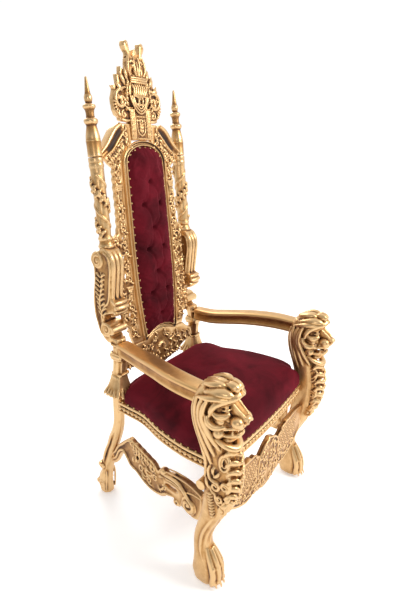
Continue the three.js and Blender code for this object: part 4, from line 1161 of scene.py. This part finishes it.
# Back pad: foam and wadding under burgundy velvet, drawn down by ten velvet-covered buttons in
# staggered rows and nailed round its edge with small brass domes. The buttons pull the velvet into
# dimples, with soft pleats between them. A flat velvet board closes the back.
def velvet(name, deep, bright, sheen):
    """Short silk pile: dark when looked into, rosy where it turns away, with stroked patches."""
    material = bpy.data.materials.new(name)
    material.use_nodes = True
    shader = material.node_tree.nodes["Principled BSDF"]
    place = add_node(material, "ShaderNodeTexCoord").outputs["Object"]
    stroke = add_node(material, "ShaderNodeTexNoise", Vector=place, Scale=9.0, Detail=3.0, Roughness=0.55,
                      Distortion=0.6).outputs["Fac"]
    pile = add_node(material, "ShaderNodeTexNoise", Vector=place, Scale=900.0, Detail=2.0).outputs["Fac"]
    mixed = add_node(material, "ShaderNodeMath", {"operation": "MULTIPLY_ADD"}, _0=pile, _1=0.22,
                     _2=stroke).outputs[0]
    ramp = add_node(material, "ShaderNodeValToRGB", Fac=mixed)
    colour = stops(ramp, (0.42, linear(deep)), (0.82, linear(bright)))
    material.node_tree.links.new(colour, shader.inputs["Base Color"])
    shader.inputs["Roughness"].default_value = 0.9
    shader.inputs["Specular IOR Level"].default_value = 0.15
    shader.inputs["Sheen Weight"].default_value = sheen
    shader.inputs["Sheen Roughness"].default_value = 0.38
    shader.inputs["Sheen Tint"].default_value = linear("E0405C")
    bump = add_node(material, "ShaderNodeBump", Strength=0.25, Distance=0.0006, Height=pile)
    material.node_tree.links.new(bump.outputs["Normal"], shader.inputs["Normal"])
    return material


burgundy_velvet = velvet("burgundy_velvet", "3C040D", "66101E", 0.38)


def edge_distance(points, outline):
    """How far points on a board lie from its outline, with both in two dimensions."""
    a = np.array(outline)
    b = np.roll(a, -1, 0)
    nearest = np.full(len(points), 9.0)
    for p, q in zip(a, b):
        along = q - p
        t = np.clip(((points - p) @ along) / (along @ along), 0, 1)
        nearest = np.minimum(nearest, np.linalg.norm(points - p - t[:, None] * along, axis=1))
    return nearest


pad_edge = arch_line(0.0203)
buttons = [(0.0, 1.333), (0.0, 1.154), (0.0, 0.978), (0.0, 0.797)]
buttons += [(side * 0.047, z) for z in (1.247, 1.074, 0.895) for side in (-1, 1)]
pleats = [(a, b) for a in buttons for b in buttons if a[1] > b[1] and a[1] - b[1] < 0.13 and a[0] != b[0]]
pleats += [((x, z), (x * 2.02, z + 0.002)) for x, z in buttons if x]


def pad_front(x, z):
    """How far the velvet stands ahead of the posts' plane at a place on the pad."""
    flat = np.stack([x, z], 1)
    inward = edge_distance(flat, pad_edge)
    front = 0.0185 + 0.026 * (1 - np.exp(-inward / 0.022))
    for bx, bz in buttons:
        away = np.hypot(x - bx, z - bz)
        front -= 0.0135 * np.exp(-(away / 0.0085) ** 2) + 0.0060 * np.exp(-(away / 0.026) ** 2)
    for (ax, az), (bx, bz) in pleats:
        along = np.array([bx - ax, bz - az])
        t = np.clip(((x - ax) * along[0] + (z - az) * along[1]) / (along @ along), 0, 1)
        sway = 0.006 * np.sin(2 * math.pi * t) * np.sign(along[0])
        away = np.hypot(x - ax - t * along[0] - sway, z - az - t * along[1])
        front -= 0.0042 * np.exp(-(away / 0.0060) ** 2) * (0.30 + 0.70 * np.abs(2 * t - 1))
    return front


verts, faces = softened("back_pad", 0.0042, 2)
depth_now = plane_y(verts[:, 2]) - verts[:, 1]
lift = np.clip((depth_now - 0.010) / 0.012, 0, 1)
raised = pad_front(verts[:, 0], verts[:, 2])
verts[:, 1] -= lift * (raised - np.maximum(depth_now, 0.018))
back_pad = mesh_object("tufted_back_pad", [(verts, faces)])
finished(back_pad, ("SMOOTH", {"factor": 0.5, "iterations": 2}))


def velvet_pulled(piece, nailed, pressure, slack, cap):
    """The velvet blown up by its stuffing, held where it is nailed and buttoned, with the cloth
    set by a cloth simulation that may move it no further than a cap."""
    count = len(piece.data.vertices)
    before = np.empty(count * 3)
    piece.data.vertices.foreach_get("co", before)
    before = before.reshape(-1, 3)
    held = piece.vertex_groups.new(name="nailed")
    for i in np.nonzero(nailed(before))[0]:
        held.add([int(i)], 1.0, "REPLACE")
    bpy.ops.object.select_all(action="DESELECT")
    piece.select_set(True)
    bpy.context.view_layer.objects.active = piece
    cloth = piece.modifiers.new("tight_velvet", "CLOTH")
    cloth.settings.use_pressure = True
    cloth.settings.uniform_pressure_force = pressure
    cloth.settings.effector_weights.gravity = 0
    cloth.settings.vertex_group_mass = "nailed"
    cloth.settings.shrink_min = -slack
    cloth.settings.quality = 3
    for number in range(1, 21):
        scene.frame_set(number)
    bpy.ops.object.modifier_apply(modifier=cloth.name)
    scene.frame_set(1)
    after = np.empty(count * 3)
    piece.data.vertices.foreach_get("co", after)
    move = after.reshape(-1, 3) - before
    length = np.linalg.norm(move, axis=1, keepdims=True)
    move *= np.minimum(1, cap / np.maximum(length, 1e-9))
    piece.data.vertices.foreach_set("co", (before + move).ravel())
    piece.data.update()


def held_on_pad(places):
    y = places[:, 1] - set_back
    held = plane_y(places[:, 2]) - y < 0.019
    held |= edge_distance(places[:, (0, 2)], pad_edge) < 0.006
    for bx, bz in buttons:
        held |= np.hypot(places[:, 0] - bx, places[:, 2] - bz) < 0.0075
    return held


velvet_pulled(back_pad, held_on_pad, 3.0, 0.05, 0.010)
finished(back_pad, ("SMOOTH", {"factor": 0.5, "iterations": 1}))
bpy.ops.object.shade_smooth()
back_pad.data.materials.append(burgundy_velvet)
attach(back_pad, "root")
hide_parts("back_pad")

covered = []
for x, z in buttons:
    place = (x, plane_y(z) - float(pad_front(np.array([x]), np.array([z]))[0]) - 0.0018, z)
    covered.append(egg(place, (0.0072, 0.0042, 0.0072), (-6, 0, 0), 18, 10))
button_set = mesh_object("velvet_buttons", covered)
bpy.ops.object.select_all(action="DESELECT")
button_set.select_set(True)
bpy.context.view_layer.objects.active = button_set
bpy.ops.object.shade_smooth()
button_set.data.materials.append(burgundy_velvet)
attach(button_set, "root")

cover_verts, cover_faces = softened("back_cover", 0.006, 2)
inward = edge_distance(cover_verts[:, (0, 2)], pad_edge)
behind = cover_verts[:, 1] > plane_y(cover_verts[:, 2]) + 0.009
cover_verts[:, 1] += behind * 0.004 * (1 - np.exp(-inward / 0.02))
back_cover = mesh_object("velvet_back_cover", [(cover_verts, cover_faces)])
finished(back_cover, ("SMOOTH", {"factor": 0.5, "iterations": 2}))
bpy.ops.object.shade_smooth()
back_cover.data.materials.append(burgundy_velvet)
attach(back_cover, "root")
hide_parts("back_cover")


# Upholstery nails: pressed brass domes, evenly spaced round the pad, round the board behind it,
# and along the lower edge of the seat's velvet.
def brass(name, polished, dull):
    """Lacquered brass, polished and tarnished in small random patches, rougher where tarnished."""
    material = bpy.data.materials.new(name)
    material.use_nodes = True
    shader = material.node_tree.nodes["Principled BSDF"]
    place = add_node(material, "ShaderNodeTexCoord").outputs["Object"]
    tarnish = add_node(material, "ShaderNodeTexNoise", Vector=place, Scale=240.0, Detail=3.0).outputs["Fac"]
    ramp = add_node(material, "ShaderNodeValToRGB", Fac=tarnish)
    colour = stops(ramp, (0.4, linear(polished)), (0.72, linear(dull)))
    material.node_tree.links.new(colour, shader.inputs["Base Color"])
    shader.inputs["Metallic"].default_value = 1.0
    rough = add_node(material, "ShaderNodeMapRange", Value=tarnish, From_Min=0.3, From_Max=0.8,
                     To_Min=0.2, To_Max=0.42)
    material.node_tree.links.new(rough.outputs[0], shader.inputs["Roughness"])
    return material


nail_brass = brass("lacquered_nail_brass", "F0D59A", "A87B3C")


def spaced(line, pitch, closed=False):
    """Places at an even pitch along a line of points."""
    line = np.array(line, float)
    if closed:
        line = np.vstack([line, line[:1]])
    steps = np.linalg.norm(np.diff(line, axis=0), axis=1)
    run = np.concatenate([[0], np.cumsum(steps)])
    count = max(2, round(run[-1] / pitch))
    at = np.linspace(0, run[-1], count, endpoint=not closed)
    return np.stack([np.interp(at, run, line[:, k]) for k in range(line.shape[1])], 1)


def nails(name, places, radius):
    parts = [egg(place, (radius, radius, radius), sides=10, rings=6) for place in places]
    piece = mesh_object(name, parts)
    bpy.ops.object.select_all(action="DESELECT")
    piece.select_set(True)
    bpy.context.view_layer.objects.active = piece
    bpy.ops.object.shade_smooth()
    piece.data.materials.append(nail_brass)
    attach(piece, "root")
    return piece


nail_row = spaced(arch_line(0.0232), 0.030, closed=True)
pad_nails = np.stack([nail_row[:, 0], plane_y(nail_row[:, 1]) - pad_front(nail_row[:, 0],
    nail_row[:, 1]) + 0.0008,
                      nail_row[:, 1]], 1)
nails("pad_nails", pad_nails, 0.0037)
nails("cover_nails", [(x, plane_y(z) + 0.0148, z) for x, z in spaced(arch_line(0.0265), 0.030,
    closed=True)], 0.0037)


# Seat cushion: springs and wadding under velvet, a high dome pulled tight over the rails and
# nailed along their tops, with soft drags in the pile.
seat_side = [(0.341, -0.296), (0.343, -0.210), (0.341, -0.130), (0.322, -0.020), (0.287, 0.090),
             (0.281, 0.170),
             (0.279, 0.236)]
seat_line = line_through(seat_side, 8)
seat_front, seat_bow = -0.308, 0.014


def half_seat(y):
    return float(np.interp(y, seat_line[:, 1], seat_line[:, 0]))


# The cushion's plan: down the swelling side, round the front leg's corner, and along the bow
side_plan = [(half_seat(y) - 0.002, y) for y in np.linspace(0.198, -0.236, 18)]
corner_plan = [(0.318, -0.243), (0.303, -0.248), (0.300, -0.262)]
front_plan = [(x, seat_front + 0.002 + seat_bow * (x / 0.306) ** 2) for x in np.linspace(0.296, 0.02, 12)]
half_plan = [(0.02, 0.229), (0.20, 0.229), (0.234, 0.226), (0.240, 0.208), (0.262, 0.203)]
half_plan += side_plan + corner_plan + front_plan
seat_plan = spaced(half_plan + [(-x, y) for x, y in reversed(half_plan)], 0.0085, closed=True)
seat_heart = np.array((0.0, -0.035))
seat_profile = [(1.0, 0.5025), (1.005, 0.514), (1.006, 0.530), (1.003, 0.545), (0.993, 0.558), (0.976, 0.568),
                (0.95, 0.576), (0.90, 0.586), (0.83, 0.5945), (0.74, 0.602), (0.64, 0.608), (0.53, 0.613),
                (0.41, 0.617), (0.29, 0.6195), (0.17, 0.621), (0.06, 0.6215)]
rings = []
for share, height in [(0.06, 0.5025), (0.4, 0.5025), (0.75, 0.5025)] + seat_profile:
    plan = seat_plan.copy()
    for _ in range(int(120 * max(0, 1 - share))):
        plan = 0.5 * plan + 0.25 * (np.roll(plan, 1, 0) + np.roll(plan, -1, 0))
    plan = seat_heart + (plan - seat_heart) * share
    rings.append(np.column_stack([plan, np.full(len(plan), height)]))
around = len(seat_plan)
verts = np.vstack(rings)
faces = []
for ring in range(len(rings) - 1):
    for i in range(around):
        j = (i + 1) % around
        faces.append((ring * around + i, ring * around + j, (ring + 1) * around + j, (ring + 1) * around + i))
faces.append(tuple(range(around - 1, -1, -1)))
faces.append(tuple((len(rings) - 1) * around + i for i in range(around)))
seat_cushion = mesh_object("domed_seat_cushion", [(verts, faces)])
bpy.ops.object.select_all(action="DESELECT")
seat_cushion.select_set(True)
bpy.context.view_layer.objects.active = seat_cushion
bpy.ops.object.mode_set(mode="EDIT")
bpy.ops.mesh.select_all(action="SELECT")
bpy.ops.mesh.normals_make_consistent(inside=False)
bpy.ops.object.mode_set(mode="OBJECT")
velvet_pulled(seat_cushion, lambda places: places[:, 2] < 0.513, 2.5, 0.0, 0.006)
finished(seat_cushion, ("REMESH", {"mode": "VOXEL", "voxel_size": 0.0065}),
         ("SMOOTH", {"factor": 0.5, "iterations": 3}))
bpy.ops.object.shade_smooth()
seat_cushion.data.materials.append(burgundy_velvet)
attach(seat_cushion, "root")
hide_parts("seat_cushion")

nail_places = []
for x, y in spaced([(x + 0.0005, y) for x, y in seat_line if -0.235 < y < 0.205], 0.0295):
    nail_places += [(x, y, 0.5085), (-x, y, 0.5085)]
for x in np.arange(-0.265, 0.2651, 0.0295):
    nail_places.append((x, seat_front + seat_bow * (x / 0.306) ** 2 - 0.0005, 0.5085))
nails("seat_nails", nail_places, 0.0037)


# Seat rails: moulded hardwood, bowed in front and swelling at the sides, with a sunk channel of
# round pearls between two fillets. The rail behind is plain.
rail_section = [(-0.034, -0.022), (-0.0015, -0.022), (0.0, -0.0205), (0.0, -0.0175), (-0.0012, -0.0160),
                (-0.0050, -0.0150), (-0.0065, -0.0125), (-0.0068, 0.0065), (-0.0055, 0.0090),
                (-0.0012, 0.0105),
                (0.0, 0.0120), (0.0008, 0.0160), (0.0, 0.0200), (-0.0015, 0.022), (-0.034, 0.022)]
rail_middle = 0.478


def pearls(line, pitch):
    """Flattened pearls, each with a small bead after it, along a rail's channel."""
    parts = []
    places = spaced(line, pitch)
    for i, (x, y) in enumerate(places):
        parts.append(egg((x, y, rail_middle - 0.003), (0.0082, 0.0082, 0.0082), sides=14, rings=8))
        if i + 1 < len(places):
            mx, my = (x + places[i + 1][0]) / 2, (y + places[i + 1][1]) / 2
            parts.append(egg((mx, my, rail_middle - 0.003), (0.0032, 0.0032, 0.0060), sides=8, rings=6))
    return parts


side_run = [(x, y) for x, y in seat_line if -0.262 < y < 0.232]
side_rail = [moulding([(x, y, rail_middle) for x, y in side_run], rail_section, (0, 0, 1))]
side_rail += pearls([(x - 0.0045, y) for x, y in side_run if -0.248 < y < 0.222], 0.0215)
front_run = [(x, seat_front + seat_bow * (x / 0.306) ** 2) for x in np.linspace(-0.300, 0.300, 41)]
front_rail = [moulding([(x, y, rail_middle) for x, y in front_run], rail_section, (0, 0, 1))]
front_rail += pearls([(x, y + 0.0045) for x, y in front_run if abs(x) < 0.287], 0.0215)
for name, parts, node in (("moulded_side_rail_left", side_rail, "side_rail_left"),
                          ("moulded_side_rail_right", other_side(side_rail), "side_rail_right"),
                          ("moulded_front_rail", front_rail, "front_rail")):
    rail = mesh_object(name, parts)
    finished(rail, ("BEVEL", {"width": 0.0006, "segments": 1, "limit_method": "ANGLE"}))
    bpy.ops.object.shade_smooth_by_angle(angle=math.radians(42))
    mark_hollows(rail, 0.004, 1)
    rail.data.materials.append(carved_gilt)
    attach(rail, "root")
    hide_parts(node)
back_rail = mesh_object("plain_back_rail", [solid_of("back_rail")])
finished(back_rail, ("BEVEL", {"width": 0.0015, "segments": 3, "limit_method": "ANGLE"}))
bpy.ops.object.shade_smooth_by_angle(angle=math.radians(42))
back_rail.data.materials.append(worn_gilt)
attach(back_rail, "root")
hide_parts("back_rail")


# Stretchers: pierced boards between the legs. Each side one starts as a great scroll at the front
# leg, crosses a leafy pierced panel with a shell along its top, and arches into the rear leg.
def on_side(rows, way=1):
    """Rows of y, height, how far out of the board's face, then half sizes, as places."""
    return [(0.303 - 0.15 * row[0] + way * (0.0095 + row[2]), row[0],
             row[1]) + tuple(row[3:]) for row in rows]


def stretcher_work(way):
    """What is carved on one face of a side stretcher: 1 is the outer face, -1 the inner."""
    face = (way, 0.15 * way, 0)

    def bar_on(rows, **ways):
        return lock(on_side(rows, way), face=face, **ways)

    def spiral(y, z, radius, thick, turns, begin, direction, out=0.0, tail=()):
        rows = list(tail)
        steps = int(turns * 10) + 1
        for i in range(steps):
            share = i / (steps - 1)
            a = begin + direction * share * turns * 2 * math.pi
            r = radius * (1 - 0.8 * share)
            rows.append((y + r * math.cos(a), z + r * math.sin(a), out, thick * (1 - 0.3 * share)))
        return bar_on(rows, steps=2)

    def frond(y, z, length, angle, thick=0.005, bend=0.4):
        a = math.radians(angle)
        rows = []
        for part, half in ((0.0, 0.45), (0.35, 1.0), (0.7, 0.85), (1.0, 0.18)):
            b = a + bend * part
            rows.append((y + length * part * math.cos(b), z + length * part * math.sin(b), 0.001,
                         thick * half))
        return bar_on(rows, steps=3)

    work = [
        spiral(-0.168, 0.256, 0.030, 0.0085, 1.25, 1.7, 1, 0.003,
               [(-0.045, 0.312, 0.001, 0.005), (-0.085, 0.322, 0.002, 0.0075),
                (-0.128, 0.322, 0.003, 0.009)]),
        bar_on([(-0.050, 0.298, 0.001, 0.003), (-0.090, 0.305, 0.001, 0.0035), (-0.140, 0.302, 0.001, 0.0035),
                (-0.190, 0.318, 0.001, 0.003), (-0.232, 0.322, 0.001, 0.0025)]),
        bar_on([(-0.050, 0.330, 0.0, 0.003), (-0.100, 0.341, 0.0, 0.0035), (-0.170, 0.346, 0.0, 0.0035),
                (-0.232, 0.334, 0.0, 0.003)]),
        spiral(-0.110, 0.228, 0.013, 0.0050, 1.1, 0.4, -1),
        egg((on_side([(-0.036, 0.318, 0.001)], way)[0]), (0.006, 0.014, 0.012)),
        egg((on_side([(-0.168, 0.256, 0.005)], way)[0]), (0.005, 0.007, 0.007)),
        # the raised edge under the panel, running up into the rear arch
        bar_on([(-0.088, 0.240, 0.0, 0.003), (-0.050, 0.228, 0.001, 0.0042), (-0.020, 0.208, 0.001, 0.0045),
                (0.024, 0.199, 0.001, 0.0045), (0.070, 0.206, 0.001, 0.0045), (0.125, 0.230, 0.001, 0.0045),
                (0.160, 0.238, 0.001, 0.005), (0.182, 0.262, 0.001, 0.0055), (0.206, 0.281, 0.001, 0.006),
                (0.236, 0.262, 0.001, 0.0055), (0.262, 0.214, 0.001, 0.005), (0.300, 0.186, 0.0, 0.004)]),
        bar_on([(0.150, 0.352, 0.001, 0.003), (0.178, 0.343, 0.001, 0.0045), (0.206, 0.315, 0.001, 0.0055),
                (0.240, 0.282, 0.001, 0.0055), (0.268, 0.238, 0.001, 0.005), (0.306, 0.212, 0.0, 0.004)]),
        spiral(0.092, 0.258, 0.017, 0.0045, 1.2, 2.6, -1), spiral(0.048, 0.232, 0.015, 0.0042, 1.2, 0.6, 1),
        spiral(0.130, 0.312, 0.014, 0.0042, 1.2, 0.4, 1), spiral(0.010, 0.262, 0.015, 0.0042, 1.2, 2.2, -1),
        spiral(-0.040, 0.250, 0.012, 0.0040, 1.1, 0.8, 1),
    ]
    for y, z, length, angle, bend in (
            (0.020, 0.285, 0.034, 25, 0.5), (0.040, 0.270, 0.034, 15, 0.5), (0.072, 0.286, 0.034, 40, 0.4),
            (0.098, 0.300, 0.030, 60, 0.4), (0.112, 0.276, 0.030, 20, 0.6), (0.066, 0.236, 0.030, 10, 0.6),
            (-0.006, 0.240, 0.028, 200, 0.5), (-0.020, 0.232, 0.030, 160, -0.5),
            (0.140, 0.262, 0.026, 60, 0.5),
            (0.030, 0.215, 0.028, 10, 0.3), (0.070, 0.220, 0.028, 25, 0.3), (-0.012, 0.285, 0.024, 130, 0.5)):
        work.append(frond(y, z, length, angle, 0.0052, bend))
    for i in range(9):
        t = i / 8
        y, z = 0.156 - 0.140 * t, 0.350 - 0.038 * t
        work.append(bar_on([(y - 0.006, z - 0.020, 0.0, 0.0016), (y - 0.001, z - 0.006, 0.002, 0.0046),
                            (y + 0.004, z + 0.003, 0.001, 0.0040)], steps=3))
    for i in range(13):
        t = i / 12
        y, z = 0.140 - 0.132 * t, 0.328 - 0.040 * t
        work.append(egg(on_side([(y, z, 0.001)], way)[0], (0.0040, 0.0036, 0.0036), sides=10, rings=6))
    return work


side_stretcher = [softened("side_stretcher_left", 0.0022, 3)] + stretcher_work(1) + stretcher_work(-1)
stretcher_left = carved("carved_side_stretcher_left", side_stretcher, 0.0018, 1, 0.003, 42000)
stretcher_right = carved("carved_side_stretcher_right", other_side(side_stretcher), 0.0018, 1, 0.003, 42000)
for piece, node in ((stretcher_left, "side_stretcher_left"), (stretcher_right, "side_stretcher_right")):
    piece.data.materials.append(carved_gilt)
    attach(piece, "root")
    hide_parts(node)


# The front stretcher is a pierced board too, stepped up to a cartouche in the middle, with a lattice
# of small flowers either side and leaves along its lower edge.
def on_front(rows):
    return [(row[0], -0.3095 - row[2], row[1]) + tuple(row[3:]) for row in rows]


def front_bar(rows, **ways):
    return lock(on_front(rows), face=(0, -1, 0), **ways)


def front_scroll(x, z, radius, thick, turns, begin, direction):
    steps = int(turns * 10) + 1
    rows = []
    for i in range(steps):
        share = i / (steps - 1)
        a = begin + direction * share * turns * 2 * math.pi
        r = radius * (1 - 0.8 * share)
        rows.append((x + r * math.cos(a), z + r * math.sin(a), 0.0, thick * (1 - 0.3 * share)))
    return front_bar(rows, steps=2)


front_half = []
for x, z, radius, begin, way in ((0.030, 0.380, 0.014, 0.5, 1), (0.052, 0.350, 0.013, 2.6, -1),
                                 (0.024, 0.330, 0.013, 1.2, -1),
                                 (0.052, 0.295, 0.015, 0.6, 1), (0.020, 0.285, 0.011, 2.0, -1),
                                 (0.062, 0.240, 0.014, 2.4, -1),
                                 (0.030, 0.215, 0.012, 0.8, 1), (0.096, 0.232, 0.013, 0.5, 1),
                                 (0.108, 0.262, 0.013, 2.6, -1),
                                 (0.140, 0.240, 0.013, 2.2, -1), (0.182, 0.246, 0.012, 0.7, 1),
                                 (0.222, 0.268, 0.011, 2.4, -1)):
    front_half.append(front_scroll(x, z, radius, 0.0040, 1.2, begin, way))
    for angle in (30, 150, 270):
        a = math.radians(angle + 40 * way)
        front_half.append(front_bar([(x + radius * 0.8 * math.cos(a), z + radius * 0.8 * math.sin(a), 0.0,
                                      0.002),
                                     (x + radius * 1.3 * math.cos(a + 0.2),
                                      z + radius * 1.3 * math.sin(a + 0.2), 0.002, 0.0046),
                                     (x + radius * 1.8 * math.cos(a + 0.5),
                                      z + radius * 1.8 * math.sin(a + 0.5), 0.0, 0.0012)], steps=3))
for i in range(6):
    for k in range(5):
        x, z = 0.098 + 0.026 * i + 0.013 * (k % 2), 0.286 + 0.022 * k
        if 0.085 < x < 0.25:
            front_half.append(egg(on_front([(x, z, 0.0005)])[0], (0.0040, 0.0030, 0.0040), sides=10, rings=6))
            for a in (0.8, 2.36, 3.93, 5.5):
                front_half.append(front_bar([(x + 0.004 * math.cos(a), z + 0.004 * math.sin(a), -0.001,
                                              0.0014),
                                             (x + 0.009 * math.cos(a), z + 0.009 * math.sin(a), 0.0008,
                                              0.0030),
                                             (x + 0.012 * math.cos(a), z + 0.012 * math.sin(a), -0.001,
                                              0.0012)], steps=2))
front_half += [
    front_bar([(0.080, 0.372, 0.0, 0.003), (0.106, 0.384, 0.001, 0.0035), (0.112, 0.398, 0.001, 0.0035),
               (0.150, 0.402, 0.001, 0.0035),
               (0.232, 0.410, 0.001, 0.0035), (0.300, 0.400, 0.0, 0.003)]),
    front_bar([(0.004, 0.408, 0.001, 0.0035), (0.036, 0.398, 0.001, 0.0042),
               (0.070, 0.370, 0.001, 0.0035), (0.082, 0.330, 0.001, 0.0035),
               (0.080, 0.280, 0.0, 0.003)]),
    front_bar([(0.110, 0.222, 0.0, 0.003), (0.165, 0.222, 0.001, 0.004), (0.215, 0.240, 0.001, 0.004),
               (0.262, 0.266, 0.001, 0.004),
               (0.305, 0.300, 0.0, 0.003)]),
]
front_stretcher = carved("carved_front_stretcher",
                         [softened("front_stretcher", 0.0022, 3)] + front_half + other_side(front_half),
                         0.0018, 1, 0.003, 60000)
front_stretcher.data.materials.append(carved_gilt)
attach(front_stretcher, "root")
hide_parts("front_stretcher")
